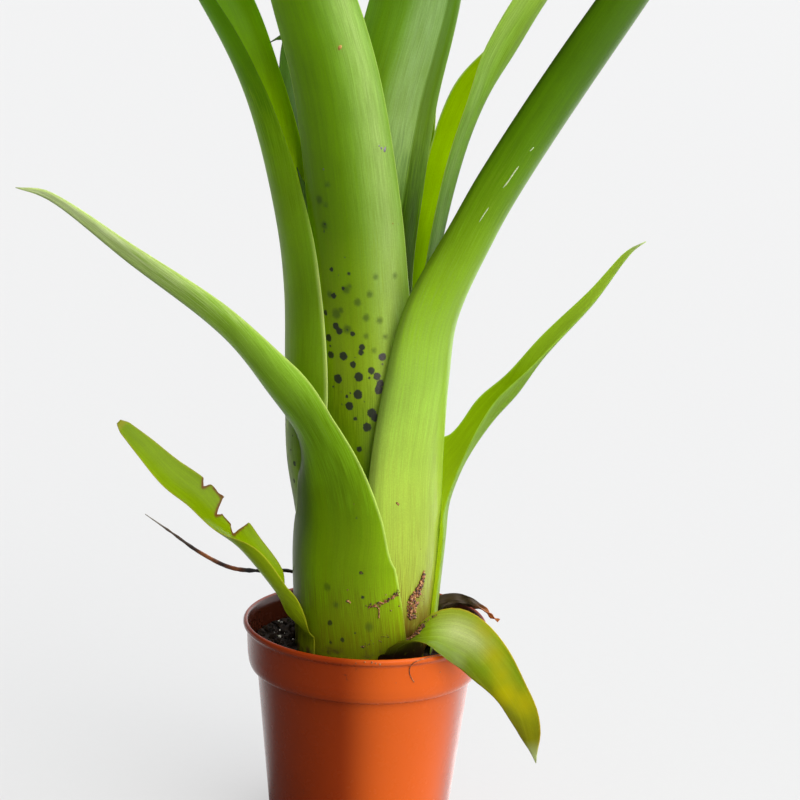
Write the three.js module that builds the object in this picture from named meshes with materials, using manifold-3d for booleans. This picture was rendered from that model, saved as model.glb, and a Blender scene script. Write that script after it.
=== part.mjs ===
// Racinaea dyeriana, a tank bromeliad, in a small round nursery pot. Millimetres, +Z up, origin in the
// middle of the pot's underside, front along -Y. Each leaf is one solid, and its sheath wraps the plant
// in a layer of its own.
import * as THREE from "three";
import Module from "manifold-3d";
import { mergeVertices } from "three/addons/utils/BufferGeometryUtils.js";

const wasm = await Module();
wasm.setup();

// Pot
const potHeight = 50;
const potBaseRadius = 21.9;
const potShoulderRadius = 26;
const potRimRadius = 29.7;
const potWall = 0.9;
const potFloor = 1.2;
const rimBandBottom = 38;
const drainHoles = 6;
const drainHoleRadius = 2.5;
const drainHoleRing = 11.5;
const potSides = 42;

// Soil and the short stem that stands in it
const fitGap = 0.3;
const soilTop = 43.6;
const stemRadius = 11.5;
const stemBottom = 33;
const collarRadius = 17.9;
const collarBottom = soilTop + 0.4;
const stemTipRadius = 4.5;
const stemSlope = 1;
const crumbCount = 38;
const goldenTurn = Math.PI * (3 - Math.sqrt(5));
const crumbRing = [19.6, 25.2];
const roundSides = 36;

// Leaves
const leafThickness = 0.6;
const layerPitch = 1.15;
const outerLayerRadius = 16.4;
const bundleSwell = 2.1;
const swellFrom = 46;
const swellTo = 80;
const bundleX = -0.3;
const facetTurn = 20;
const stepsPerRow = 2;
const strandSides = 8;
const strandStart = new THREE.Vector3(-17.6, 12.5, 40);
const strandSocketRadius = 1.1;

const radians = THREE.MathUtils.degToRad;
const up = new THREE.Vector3(0, 0, 1);

const finish = {
  pot: new THREE.MeshStandardMaterial({ color: 0xb8502a, roughness: 0.32, metalness: 0 }),
  soil: new THREE.MeshStandardMaterial({ color: 0x2a1d14, roughness: 0.95, metalness: 0 }),
  stem: new THREE.MeshStandardMaterial({ color: 0x9c8f52, roughness: 0.7, metalness: 0 }),
  leaf: new THREE.MeshStandardMaterial({ color: 0x5f9c1c, roughness: 0.42, metalness: 0 }),
  oldLeaf: new THREE.MeshStandardMaterial({ color: 0x93a91b, roughness: 0.4, metalness: 0 }),
  dryLeaf: new THREE.MeshStandardMaterial({ color: 0x5a4426, roughness: 0.85, metalness: 0 }),
};

function toSolid(geometry) {
  const bare = geometry.clone();
  bare.deleteAttribute("normal");
  bare.deleteAttribute("uv");
  const merged = mergeVertices(bare, 1e-4);
  const vertProperties = new Float32Array(merged.attributes.position.array);
  const triVerts = new Uint32Array(merged.index.array);
  return new wasm.Manifold(new wasm.Mesh({ numProp: 3, vertProperties, triVerts }));
}

function toGeometry(solid) {
  const mesh = solid.getMesh();
  const geometry = new THREE.BufferGeometry();
  geometry.setAttribute("position", new THREE.BufferAttribute(mesh.vertProperties, 3));
  geometry.setIndex(new THREE.BufferAttribute(mesh.triVerts, 1));
  geometry.computeVertexNormals();
  return geometry;
}

// A closed skin over rings of points. The ends are closed by strips between point i and its mirror on
// the ring, and the two faces of a blade are split along the same diagonals, so they stay parallel where
// the blade is waved.
function loft(rings) {
  const count = rings[0].length;
  const half = count / 2;
  const positions = rings.flatMap((ring) => ring.flatMap((point) => point.toArray()));
  const index = [];
  for (let j = 0; j + 1 < rings.length; j += 1) {
    for (let i = 0; i < count; i += 1) {
      const a = j * count + i;
      const b = j * count + ((i + 1) % count);
      const c = b + count;
      const d = a + count;
      if (i < half) index.push(a, b, c, a, c, d);
      else index.push(a, b, d, b, c, d);
    }
  }
  const last = (rings.length - 1) * count;
  for (let i = 0; i + 1 < half; i += 1) {
    const mirror = count - 1 - i;
    index.push(i, mirror, mirror - 1, i, mirror - 1, i + 1);
    index.push(last + i, last + mirror - 1, last + mirror, last + i, last + i + 1, last + mirror - 1);
  }
  const geometry = new THREE.BufferGeometry();
  geometry.setAttribute("position", new THREE.Float32BufferAttribute(positions, 3));
  geometry.setIndex(index);
  geometry.computeVertexNormals();
  return geometry;
}

// The conical stem that carries the sheaths: its height above the soil where it is this wide.
function stemHeight(radius) {
  return collarBottom + 0.4 + (collarRadius - radius) * stemSlope;
}

// A row of a sheath, which wraps the bundle in its own layer. The bundle widens a little above the soil.
function sheathRow(layer, [z, azimuth, wrap]) {
  const swell = bundleSwell * THREE.MathUtils.smoothstep(z, swellFrom, swellTo);
  const radius = outerLayerRadius + swell - layer * layerPitch;
  const turn = radians(azimuth);
  const width = radius * radians(wrap);
  return [bundleX + radius * Math.cos(turn), radius * Math.sin(turn), z, width, radius, azimuth];
}

// The rows of a leaf from its foot to its tip. A sheath row is height, azimuth and wrap, and the first
// one is at the stem. A blade row is x, y, z of the midrib, the width across the curl, the radius of the
// curl, and the azimuth and elevation that the outer face looks to.
function leafRows({ layer, foot, sheath, blade }) {
  const footHeight = stemHeight(outerLayerRadius - layer * layerPitch - leafThickness / 2) + 2 * fitGap;
  return [...[[footHeight, ...foot], ...sheath].map((row) => sheathRow(layer, row)), ...blade];
}

function leafGeometry(leaf) {
  const rows = leafRows(leaf);
  const spine = new THREE.CatmullRomCurve3(rows.map(([x, y, z]) => new THREE.Vector3(x, y, z)));
  const form = new THREE.CatmullRomCurve3(
    rows.map(([, , , width, curl, face]) => new THREE.Vector3(width, 1 / curl, radians(face))),
    false,
    "catmullrom",
  );
  const tilt = new THREE.CatmullRomCurve3(
    rows.map(([, , , , , , elevation = 0]) => new THREE.Vector3(radians(elevation), 0, 0)),
    false,
    "catmullrom",
  );
  const widest = Math.max(...rows.map(([, , , width, curl]) => THREE.MathUtils.radToDeg(width / curl)));
  const across = leaf.across ?? Math.ceil(widest / facetTurn);
  const steps = (rows.length - 1) * stepsPerRow;
  const stops = Array.from({ length: steps + 1 }, (_, step) => step / steps);
  const bites = (leaf.bites ?? []).map(([row, kept]) => [row / (rows.length - 1), kept]);
  const along = [...new Set([...stops, ...bites.map(([t]) => t)])].sort((a, b) => a - b);
  const rings = along.map((t) => {
    const centre = spine.getPoint(t);
    const ahead = spine.getPoint(Math.min(t + 1e-3, 1));
    const tangent = t === 0 ? up.clone() : ahead.sub(spine.getPoint(t - 1e-3)).normalize();
    const { x: width, y: bend, z: face } = form.getPoint(t);
    const elevation = tilt.getPoint(t).x;
    const outward = new THREE.Vector3(
      Math.cos(elevation) * Math.cos(face),
      Math.cos(elevation) * Math.sin(face),
      Math.sin(elevation),
    );
    outward.addScaledVector(tangent, -outward.dot(tangent)).normalize();
    const side = tangent.clone().cross(outward);
    const kept = keptShare(bites, t);
    const point = (share, offset) => {
      const turn = (share * width * bend) / 2;
      const radius = 1 / bend + offset;
      return centre
        .clone()
        .addScaledVector(side, radius * Math.sin(turn))
        .addScaledVector(outward, radius * Math.cos(turn) - 1 / bend);
    };
    const shares = Array.from({ length: across + 1 }, (_, i) => -kept + ((1 + kept) * i) / across);
    const outer = shares.map((share) => point(share, leafThickness / 2));
    const inner = shares.map((share) => point(share, -leafThickness / 2)).reverse();
    return [...outer, ...inner];
  });
  return loft(rings);
}

// A chewed margin: the share of the half width that is left beside the midrib, straight between the
// listed places.
function keptShare(bites, t) {
  const after = bites.findIndex(([at]) => at > t);
  if (after <= 0) return 1;
  const [from, shareFrom] = bites[after - 1];
  const [to, shareTo] = bites[after];
  return THREE.MathUtils.mapLinear(t, from, to, shareFrom, shareTo);
}

const leaves = [
  {
    name: "leaf_left_low", layer: 0, foot: [246, 134], sheath: [[68, 239, 108], [79, 240, 84]],
    blade: [
      [-10.8, -16.7, 90, 21.5, 18.5, 239],
      [-16.4, -15, 101, 16.5, 12.5, 229],
      [-23.4, -14, 112, 15, 6.5, 220],
      [-35.9, -17, 125.5, 11, 5.5, 224],
      [-56.4, -22, 142, 6.5, 4.5, 226],
      [-75.9, -25, 156.5, 2.4, 3, 226],
      [-82.4, -26, 158, 1.2, 3, 226],
    ],
  },
  {
    name: "leaf_right_low", layer: 0, foot: [25, 100], sheath: [[68, 24, 98], [80, 22, 92]],
    blade: [
      [20.5, 0.6, 90, 18.5, 12.5, 10.5],
      [27.8, 0.4, 101.5, 13.4, 5.6, 13, -5],
      [33.4, 0, 108.5, 12.4, 5.4, 6, -3],
      [40.4, 0, 119, 8.4, 5, 14],
      [51.1, 0, 132, 6.4, 5, 12],
      [59.6, 0, 144.2, 3, 3.5, 10],
      [62.6, 0, 146.3, 1.2, 3, 10],
    ],
  },
  {
    name: "leaf_back_low", layer: 0, foot: [124, 92], sheath: [[70, 118, 78], [82, 108, 52]],
    blade: [
      [-6.7, 19.5, 98, 17, 14, 108],
      [-8.9, 28, 111, 16, 8, 104],
      [-10.4, 43, 126, 13, 6.5, 102],
      [-11.4, 62, 141, 9, 5.5, 100],
      [-11.4, 80, 153, 3, 4, 100],
      [-10.4, 86, 154, 1.2, 3, 100],
    ],
  },
  {
    name: "leaf_right_tall", layer: 1.1, foot: [316, 96], sheath: [[72, 312, 88], [92, 310, 80]],
    blade: [
      [13.3, -15, 114, 23, 12, 310],
      [14.9, -17, 128, 20, 9.5, 306],
      [22.8, -23, 149, 17, 6.2, 300],
      [29.5, -27, 163.6, 16.9, 5.6, 298],
      [48.1, -35, 197.5, 15.4, 5.6, 296],
      [68.6, -44, 231, 12.1, 5.5, 298],
      [86.6, -54, 252, 6, 5, 300],
      [96.6, -61, 260, 1.2, 4, 300],
    ],
  },
  {
    name: "leaf_left_tall", layer: 2, foot: [187, 124], sheath: [[68, 187, 122]],
    blade: [
      [-17.8, -1.8, 79, 33, 15.6, 187],
      [-20, -1.5, 91, 32, 15, 187],
      [-21, -2.2, 112, 35.5, 16, 186],
      [-21.8, -1.8, 131.5, 32, 15, 186],
      [-24.4, -1.5, 149.3, 31, 13, 180],
      [-32, -1, 177.4, 25, 9.8, 172],
      [-42.4, -1, 199, 24.4, 9.2, 162.5],
      [-63.4, -1, 231, 17, 8.5, 151.5],
      [-84.4, -3, 247, 1.2, 8, 150],
    ],
  },
  {
    name: "leaf_front", layer: 3, foot: [266, 130], sheath: [[72, 266, 124], [92, 266, 112]],
    blade: [
      [-2.4, -16.4, 116, 27.5, 14.5, 266],
      [-4.2, -17.1, 133.5, 26.6, 13.5, 266],
      [-6.4, -18.2, 153.5, 25.6, 13, 266],
      [-11.4, -23.5, 184, 23.4, 12, 267],
      [-17.2, -29, 204, 21, 11.5, 268],
      [-27.4, -43, 233, 14, 10, 270],
      [-39.4, -54, 252, 1.2, 9, 272],
    ],
  },
  {
    name: "leaf_back", layer: 3, foot: [80, 120], sheath: [[74, 80, 116], [96, 80, 104]],
    blade: [
      [1.6, 17, 124, 24, 13, 80],
      [3.6, 20, 152, 22, 11, 80],
      [5.1, 27, 184, 20, 10, 80],
      [10.6, 38, 214, 17, 9, 78],
      [15.6, 54, 238, 9, 7, 76],
      [19.6, 66, 247, 1.2, 6, 76],
    ],
  },
  {
    name: "leaf_centre", layer: 4, foot: [272, 130], sheath: [[75, 272, 126], [95, 270, 112]],
    blade: [
      [-2.9, -14.3, 135, 25, 14, 269],
      [-0.7, -13.3, 158.5, 24.5, 13.5, 272],
      [2.3, -14.3, 180, 25, 13, 277],
      [7.5, -16, 202.7, 25, 12, 282],
      [13.1, -17.5, 236, 20, 11, 285],
      [16.6, -20.5, 262, 10, 10, 286],
      [18.1, -23, 276, 1.2, 9, 286],
    ],
  },
  {
    name: "leaf_back_left", layer: 4, foot: [122, 112], sheath: [[76, 120, 108], [98, 120, 98]],
    blade: [
      [-8.4, 12.5, 136, 22, 11.5, 118],
      [-11.4, 15.6, 162, 20, 11, 116],
      [-18, 20.4, 184, 20.5, 10.5, 114],
      [-17.4, 28, 208, 16, 10, 112],
      [-19.4, 40, 230, 9, 8, 110],
      [-21.4, 50, 240, 1.2, 7, 110],
    ],
  },
  {
    name: "leaf_right_inner", layer: 5, foot: [5, 130], sheath: [[78, 6, 120], [98, 8, 104]],
    blade: [
      [11.9, 2.2, 126, 22, 12, 13],
      [16.7, 1, 158, 22, 10.5, 12],
      [22, 1, 176, 22.5, 10, 10],
      [28.9, 1, 188.6, 23, 10, -6],
      [39.2, 1.5, 206.5, 23.5, 9.5, -2],
      [59.6, 3, 232, 15, 8, -6],
      [76.6, 4, 250, 1.2, 7, -6],
    ],
  },
  {
    name: "leaf_hooked", layer: 6, foot: [160, 140], sheath: [[80, 160, 132], [102, 160, 116]],
    blade: [
      [-11, 3, 130, 17, 8.5, 160],
      [-12.2, 2, 156, 12, 7, 165],
      [-14.4, 1, 174, 8, 5, 170],
      [-18.9, 0, 185.5, 4, 4, 180],
      [-23.9, 0, 190.4, 2.2, 3, 200],
      [-27.2, 0, 189.2, 1.2, 3, 200],
    ],
  },
  {
    name: "leaf_young", layer: 7, foot: [40, 150], sheath: [[82, 40, 140], [104, 40, 120]],
    blade: [
      [3.6, 4, 134, 15, 8, 40],
      [5.1, 4.5, 166, 13, 6.5, 40],
      [7.6, 5.5, 196, 10, 5, 40],
      [10.6, 7.5, 220, 5, 4, 40],
      [12.6, 9, 231, 1.2, 3, 40],
    ],
  },
  {
    name: "leaf_left_chewed", layer: -1, foot: [211, 36], sheath: [[50, 213, 34]],
    finish: finish.oldLeaf, across: 4,
    bites: [[4.35, 1], [4.42, 0.05], [4.65, 0.38], [5.05, 0.4], [5.15, 0.05], [5.35, 0.9], [5.88, 1],
      [5.95, 0.6], [6.08, 1]],
    blade: [
      [-18.6, -17, 55.4, 10.2, 6, 226, -2],
      [-21.8, -18.5, 63.4, 13.3, 6, 188],
      [-29.3, -19, 72.7, 14.2, 6, 180, -7],
      [-35.3, -19, 79.3, 11.7, 7, 152, -14],
      [-41, -19, 85.5, 9.6, 8, 138, -22],
      [-47, -19, 90.2, 8.4, 9, 133, -22],
      [-53, -19, 96.4, 5.9, 9, 130, -20],
      [-59, -19, 102.4, 3, 9, 130, -20],
    ],
  },
  {
    name: "leaf_right_drooping", layer: -1, foot: [304, 44], sheath: [[47.5, 305, 42]],
    finish: finish.oldLeaf, across: 4,
    blade: [
      [10.8, -17.5, 51, 10.5, 9, 335, -42],
      [18.4, -19.5, 53.6, 14, 12, 390, -50],
      [25.1, -22, 52.6, 13, 14, 406, -32],
      [30.2, -25, 48.9, 11.8, 14, 412, -28],
      [35.2, -28, 43.3, 8.6, 12, 421, -21],
      [39.1, -30, 36.8, 7.3, 10, 421, -13],
      [41.6, -32, 27, 1.6, 9, 420, -8],
    ],
  },
  {
    name: "dry_leaf", layer: -1.8, foot: [24, 16], sheath: [[48.5, 24, 16]],
    finish: finish.dryLeaf, across: 4,
    blade: [
      [17.6, 8.5, 50.6, 6, 4, 30, -10],
      [20.2, 8.4, 52.1, 6.5, 3, 30, -50],
      [24.6, 7.4, 52.6, 6, 3, 30, -80],
      [28.8, 5.4, 51.8, 4, 3, 20, -110],
      [32.5, 3.6, 49.6, 1.4, 2, 10, -120],
    ],
  },
];

// The outer radius of the pot's tapered wall, below its rim band.
function wallRadius(z) {
  return THREE.MathUtils.mapLinear(z, 0, rimBandBottom, potBaseRadius, potShoulderRadius);
}

function pot() {
  const profile = [
    [0, 0],
    [potBaseRadius - 0.6, 0],
    [potBaseRadius, 0.6],
    [wallRadius(rimBandBottom), rimBandBottom],
    [potRimRadius - 2.1, rimBandBottom + 0.3],
    [potRimRadius - 1.6, rimBandBottom + 1.6],
    [potRimRadius - 1.3, rimBandBottom + 3.6],
    [potRimRadius - 0.9, potHeight - 2],
    [potRimRadius, potHeight - 1.4],
    [potRimRadius, potHeight - 0.5],
    [potRimRadius - 0.5, potHeight],
    [potRimRadius - 1.1, potHeight - 0.3],
    [potRimRadius - 1.7, potHeight - 2],
    [potRimRadius - 2.3, rimBandBottom + 3.4],
    [wallRadius(rimBandBottom) - potWall, rimBandBottom + 0.8],
    [potBaseRadius - potWall, potFloor + 0.5],
    [potBaseRadius - potWall - 0.6, potFloor],
    [0, potFloor],
  ];
  const shell = new THREE.LatheGeometry(profile.map(([r, z]) => new THREE.Vector2(r, z)), potSides);
  shell.rotateX(Math.PI / 2);
  let solid = toSolid(shell);
  for (let hole = 0; hole < drainHoles; hole += 1) {
    const turn = (2 * Math.PI * hole) / drainHoles;
    const drill = new THREE.CylinderGeometry(drainHoleRadius, drainHoleRadius, 3 * potFloor, 16);
    drill.rotateX(Math.PI / 2);
    drill.translate(drainHoleRing * Math.cos(turn), drainHoleRing * Math.sin(turn), potFloor / 2);
    solid = solid.subtract(toSolid(drill));
  }
  return toGeometry(solid);
}

// A lathed stem: a peg in the soil's hole, a collar just over the soil, and the cone that the sheaths
// stand on.
function stem() {
  const profile = [
    [0, stemBottom],
    [stemRadius - 1, stemBottom],
    [stemRadius, stemBottom + 1],
    [stemRadius, collarBottom],
    [collarRadius, collarBottom],
    [collarRadius, collarBottom + 0.4],
    [stemTipRadius, stemHeight(stemTipRadius)],
    [0, stemHeight(stemTipRadius)],
  ];
  const geometry = new THREE.LatheGeometry(profile.map(([r, z]) => new THREE.Vector2(r, z)), roundSides);
  return geometry.rotateX(Math.PI / 2).translate(bundleX, 0, 0);
}

// Moist peat that fills the pot to a few millimetres below its rim, with crumbs and grit on its surface.
function soil() {
  const holeRadius = stemRadius + fitGap;
  const reach = (z) => wallRadius(z) - potWall;
  const profile = [
    [0, potFloor + fitGap],
    [potBaseRadius - potWall - 1, potFloor + fitGap],
    [reach(potFloor) - fitGap, potFloor + 1],
    [reach(rimBandBottom) - fitGap, rimBandBottom + 0.6],
    [reach(rimBandBottom) + 1.9, rimBandBottom + 3.8],
    [reach(rimBandBottom) + 1.9, soilTop],
    [0, soilTop],
  ];
  const fill = new THREE.LatheGeometry(profile.map(([r, z]) => new THREE.Vector2(r, z)), roundSides);
  const holeDepth = soilTop - stemBottom + fitGap;
  const hole = new THREE.CylinderGeometry(holeRadius, holeRadius, 2 * holeDepth, roundSides);
  hole.rotateX(Math.PI / 2).translate(bundleX, 0, soilTop);
  let solid = toSolid(fill.rotateX(Math.PI / 2)).subtract(toSolid(hole));
  for (let crumb = 0; crumb < crumbCount; crumb += 1) {
    const turn = crumb * goldenTurn;
    const size = 0.7 + 0.8 * Math.abs(Math.sin(7 * crumb));
    const ring = THREE.MathUtils.lerp(...crumbRing, Math.abs(Math.sin(3 * crumb)));
    const grain = new THREE.IcosahedronGeometry(size, 0);
    grain.rotateZ(turn * 5);
    grain.rotateX(turn * 3);
    grain.translate(ring * Math.cos(turn), ring * Math.sin(turn), soilTop + 0.2 * size);
    solid = solid.add(toSolid(grain));
  }
  const socketDepth = 2 * (soilTop - strandStart.z + 2);
  const socket = new THREE.CylinderGeometry(strandSocketRadius, strandSocketRadius, socketDepth, 10);
  socket.rotateX(Math.PI / 2).translate(strandStart.x, strandStart.y, soilTop);
  return toGeometry(solid.subtract(toSolid(socket)));
}

// A dried, thread-like leaf: rows of x, y, z and radius.
function strandGeometry(rows) {
  const spine = new THREE.CatmullRomCurve3(rows.map(([x, y, z]) => new THREE.Vector3(x, y, z)));
  const frames = spine.computeFrenetFrames(3 * (rows.length - 1));
  const rings = frames.tangents.map((_, j) => {
    const t = j / (frames.tangents.length - 1);
    const place = t * (rows.length - 1);
    const before = rows[Math.floor(place)][3];
    const radius = THREE.MathUtils.lerp(before, rows[Math.ceil(place)][3], place % 1);
    return Array.from({ length: strandSides }, (__, i) => {
      const turn = (2 * Math.PI * i) / strandSides;
      return spine
        .getPoint(t)
        .addScaledVector(frames.normals[j], radius * Math.cos(turn))
        .addScaledVector(frames.binormals[j], radius * Math.sin(turn));
    });
  });
  return loft(rings);
}

const dryStrand = [
  [...strandStart.toArray(), 0.6],
  [strandStart.x, strandStart.y, 50, 0.6],
  [-19.4, 11.5, 56, 0.6],
  [-25.2, 11, 57.8, 0.6],
  [-33.4, 14, 57.2, 0.65],
  [-42, 20, 59, 0.6],
  [-50, 24, 63, 0.45],
  [-56.4, 26, 66.6, 0.3],
];

const group = new THREE.Group();

function addPart(name, geometry, material) {
  const mesh = new THREE.Mesh(geometry, material);
  mesh.name = name;
  group.add(mesh);
}

addPart("pot", pot(), finish.pot);
addPart("soil", soil(), finish.soil);
addPart("stem", stem(), finish.stem);
for (const leaf of leaves) addPart(leaf.name, leafGeometry(leaf), leaf.finish ?? finish.leaf);
addPart("dry_strand", strandGeometry(dryStrand), finish.dryLeaf);

export default group;
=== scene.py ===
import math
import random

import bmesh
import bpy
import numpy as np
from mathutils import Euler, Matrix, Vector, noise


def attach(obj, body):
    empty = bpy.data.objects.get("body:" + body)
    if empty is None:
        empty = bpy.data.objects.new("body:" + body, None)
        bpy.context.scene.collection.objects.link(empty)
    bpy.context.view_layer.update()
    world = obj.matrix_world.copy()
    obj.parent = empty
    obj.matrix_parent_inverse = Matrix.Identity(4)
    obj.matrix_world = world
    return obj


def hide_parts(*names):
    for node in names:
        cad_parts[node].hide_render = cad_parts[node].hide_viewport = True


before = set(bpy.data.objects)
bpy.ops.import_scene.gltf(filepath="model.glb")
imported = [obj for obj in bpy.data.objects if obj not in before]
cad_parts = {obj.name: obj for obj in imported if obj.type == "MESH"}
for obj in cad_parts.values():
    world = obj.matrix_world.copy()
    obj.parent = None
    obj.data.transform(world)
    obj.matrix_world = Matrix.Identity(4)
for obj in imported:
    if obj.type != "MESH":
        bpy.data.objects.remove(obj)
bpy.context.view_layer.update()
mm = 0.001
print("frame loaded,", len(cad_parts), "nodes")


# Small tools


def linear(hexColour):  # an sRGB hex colour as the linear values that a shader takes
    parts = [int(hexColour[i:i + 2], 16) / 255 for i in (1, 3, 5)]
    return tuple(p / 12.92 if p <= 0.04045 else ((p + 0.055) / 1.055) ** 2.4 for p in parts) + (1.0,)


def addNode(material, kind, inputs=None, **settings):  # one shader node, with its settings, values and links
    node = material.node_tree.nodes.new("ShaderNode" + kind)
    for name, value in settings.items():
        setattr(node, name, value)
    for name, value in (inputs or {}).items():
        if isinstance(value, bpy.types.Node):  # a node stands for its first output
            value = value.outputs[0]
        if isinstance(value, bpy.types.NodeSocket):
            material.node_tree.links.new(value, node.inputs[name])
        else:
            node.inputs[name].default_value = value
    return node


def newMaterial(name):
    material = bpy.data.materials.new(name)
    material.use_nodes = True
    material.node_tree.nodes.clear()
    return material


def setStops(node, stops):  # the stops of a colour ramp: a place, and a hex colour or a plain level
    ramp = node.color_ramp
    while len(ramp.elements) < len(stops):
        ramp.elements.new(0.5)
    for element, (place, value) in zip(ramp.elements, stops):
        element.position = place
        element.color = linear(value) if isinstance(value, str) else (value, value, value, 1)


def smoothStep(low, high, value):
    share = np.clip((value - low) / (high - low), 0, 1)
    return share * share * (3 - 2 * share)


def unit(vectors):
    return vectors / np.linalg.norm(vectors, axis=-1, keepdims=True)


def around(radius, turn, height):  # a point at this angle round the upright axis
    return (radius * math.cos(turn), radius * math.sin(turn), height)


def addPiece(name, points, faces, material, node=None, slot=None, attributes=None):
    mesh = bpy.data.meshes.new(name)
    mesh.from_pydata((np.asarray(points) * mm).tolist(), [], faces)
    for key, values in (attributes or {}).items():
        layer = mesh.attributes.new(key, "FLOAT", "POINT")
        layer.data.foreach_set("value", np.asarray(values, np.float32).ravel())
    mesh.polygons.foreach_set("use_smooth", [True] * len(mesh.polygons))
    mesh.materials.append(material)
    mesh.update()
    piece = bpy.data.objects.new(name, mesh)
    bpy.context.scene.collection.objects.link(piece)
    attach(piece, "root")
    if node:
        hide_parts(node)
    return piece


# Camera, at the height and tilt that the pot's rim gives

viewpoint = {
    "target": (6.26, 0, 105.45), "distance": 700, "elevation": 14.43, "roll": 2.31,
    "focalPixels": 2932.1, "imagePixels": 800, "sensorWidth": 36,
}


def makeCamera(look):
    camera = bpy.data.objects.new("photoCamera", bpy.data.cameras.new("photoCamera"))
    bpy.context.scene.collection.objects.link(camera)
    camera.data.sensor_width = look["sensorWidth"]
    camera.data.lens = look["sensorWidth"] * look["focalPixels"] / look["imagePixels"]
    tilt = math.radians(look["elevation"])
    back = Vector((0, -math.cos(tilt), math.sin(tilt)))
    turn = (-back).to_track_quat("-Z", "Y").to_matrix() @ Matrix.Rotation(math.radians(look["roll"]), 3, "Z")
    camera.matrix_world = turn.to_4x4()
    camera.location = (Vector(look["target"]) + back * look["distance"]) * mm
    bpy.context.scene.camera = camera


makeCamera(viewpoint)
print("camera placed")


# Light: a wide window wall on the right, a pale wall behind the plant and a dim side at the front left.
# Each lobe is a direction, how far towards it the light starts and is full, and its strength

studio = {
    "keyAzimuth": -57, "keyElevation": 28, "keyAngle": 60, "keyStrength": 2.3, "keyColour": "#fffaf2",
    "lobes": [((0.97, 0.1, 0.2), 0.1, 0.85, 3.0), ((0.4, 0.88, 0.24), 0.15, 0.8, 0.85), ((0, 0, 1), 0.0, 1.0, 0.35)],
    "ambient": 0.1, "roomColour": "#f7f9fc", "backdrop": "#f0f0f0", "floorRadius": 6000, "floorSides": 96,
    "floorColour": "#7a7a7a", "floorGlow": 0.53, "floorRoughness": 0.9, "floorGloss": 0.1,
    "fibreMm": 2.5, "fibreTone": (0.97, 1.03),
    "sheenLobes": [((0.98, -0.2, 0), -0.2, 0.8, 1.5), ((0, 1, 0), 0.1, 0.8, 0.8)], "sheenAmbient": 0.08,
}


def makeLight(look):
    light = bpy.data.lights.new("windowKey", "SUN")
    light.energy = look["keyStrength"]
    light.angle = math.radians(look["keyAngle"])
    light.color = linear(look["keyColour"])[:3]
    key = bpy.data.objects.new("windowKey", light)
    bpy.context.scene.collection.objects.link(key)
    rise = math.radians(look["keyElevation"])
    towards = Vector(around(math.cos(rise), math.radians(look["keyAzimuth"]), math.sin(rise)))
    key.rotation_mode = "QUATERNION"
    key.rotation_quaternion = towards.to_track_quat("Z", "Y")


def lobes(material, direction, parts, ambient):  # brightness by direction: smooth lobes over an even level
    total = ambient
    for axis, low, high, strength in parts:
        along = addNode(material, "VectorMath", {0: direction, 1: axis}, operation="DOT_PRODUCT").outputs["Value"]
        lobe = addNode(material, "MapRange", {"Value": along, "From Min": low, "From Max": high, "To Max": strength},
                       interpolation_type="SMOOTHSTEP")
        total = addNode(material, "Math", {0: lobe, 1: total}, operation="ADD")
    return total


def makeRoom(look):
    world = bpy.data.worlds.new("paleRoom")
    world.use_nodes = True
    world.node_tree.nodes.clear()
    bpy.context.scene.world = world
    direction = addNode(world, "TexCoord").outputs["Generated"]
    level = lobes(world, direction, look["lobes"], look["ambient"])
    room = addNode(world, "Background", {"Color": linear(look["roomColour"]), "Strength": level})
    seen = addNode(world, "Background", {"Color": linear(look["backdrop"]), "Strength": 1.0})
    ray = addNode(world, "LightPath")
    both = addNode(world, "MixShader", {0: ray.outputs["Is Camera Ray"], 1: room, 2: seen})
    addNode(world, "OutputWorld", {"Surface": both})


def makeFloor(look):
    paper = newMaterial("mattPaperSweep")  # a plain pale paper: even to the eye, its bounce kept low on the shaded side
    place = addNode(paper, "TexCoord").outputs["Object"]
    fibre = addNode(paper, "TexNoise", {"Vector": place, "Scale": 1 / (look["fibreMm"] * mm), "Detail": 3.0})
    low, high = look["fibreTone"]
    tint = addNode(paper, "MapRange", {"Value": fibre, "To Min": low, "To Max": high})
    colour = addNode(paper, "VectorMath", {0: linear(look["floorColour"])[:3], "Scale": tint}, operation="SCALE")
    # for glossy rays the paper glows, brighter towards the right and the back: a painted reflection of a window wall
    # and a pale wall
    outwards = addNode(paper, "VectorMath", {0: place}, operation="NORMALIZE")
    level = lobes(paper, outwards, look["sheenLobes"], look["sheenAmbient"])
    ray = addNode(paper, "LightPath")
    sheen = addNode(paper, "Math", {0: level, 1: ray.outputs["Is Glossy Ray"]}, operation="MULTIPLY")
    glow = addNode(paper, "Math", {0: ray.outputs["Is Camera Ray"], 1: look["floorGlow"], 2: sheen},
                   operation="MULTIPLY_ADD")
    skin = addNode(paper, "BsdfPrincipled", {
        "Base Color": colour, "Roughness": look["floorRoughness"], "Specular IOR Level": look["floorGloss"],
        "Emission Color": (1, 1, 1, 1), "Emission Strength": glow})
    addNode(paper, "OutputMaterial", {"Surface": skin})
    sides = look["floorSides"]
    mesh = bpy.data.meshes.new("paperSweep")
    mesh.from_pydata([around(look["floorRadius"] * mm, math.tau * i / sides, 0) for i in range(sides)], [],
                     [range(sides)])
    mesh.materials.append(paper)
    floor = bpy.data.objects.new("paperSweep", mesh)
    bpy.context.scene.collection.objects.link(floor)


makeLight(studio)
makeRoom(studio)
makeFloor(studio)
bpy.context.scene.view_settings.view_transform = "Standard"
print("light and floor made")


# The leaves. Sheath rows are height, azimuth and wrap in the leaf's own layer of the bundle; blade rows are x, y, z
# of the midrib, width across the curl, radius of the curl, and the azimuth and elevation of the outer face, in mm.
# Spots and blotches are mm along and across the outer face with a radius; bites are a row and the share left there

bundle = {
    "centreX": -0.3, "outerRadius": 16.4, "swell": 2.1, "swellFrom": 46, "swellTo": 80, "layerPitch": 1.15,
    "thickness": 0.6, "marginThickness": 0.24, "footRise": 0.6, "skirt": 3, "stemRadius": 17.9, "stemTop": 44.4,
}

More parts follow.
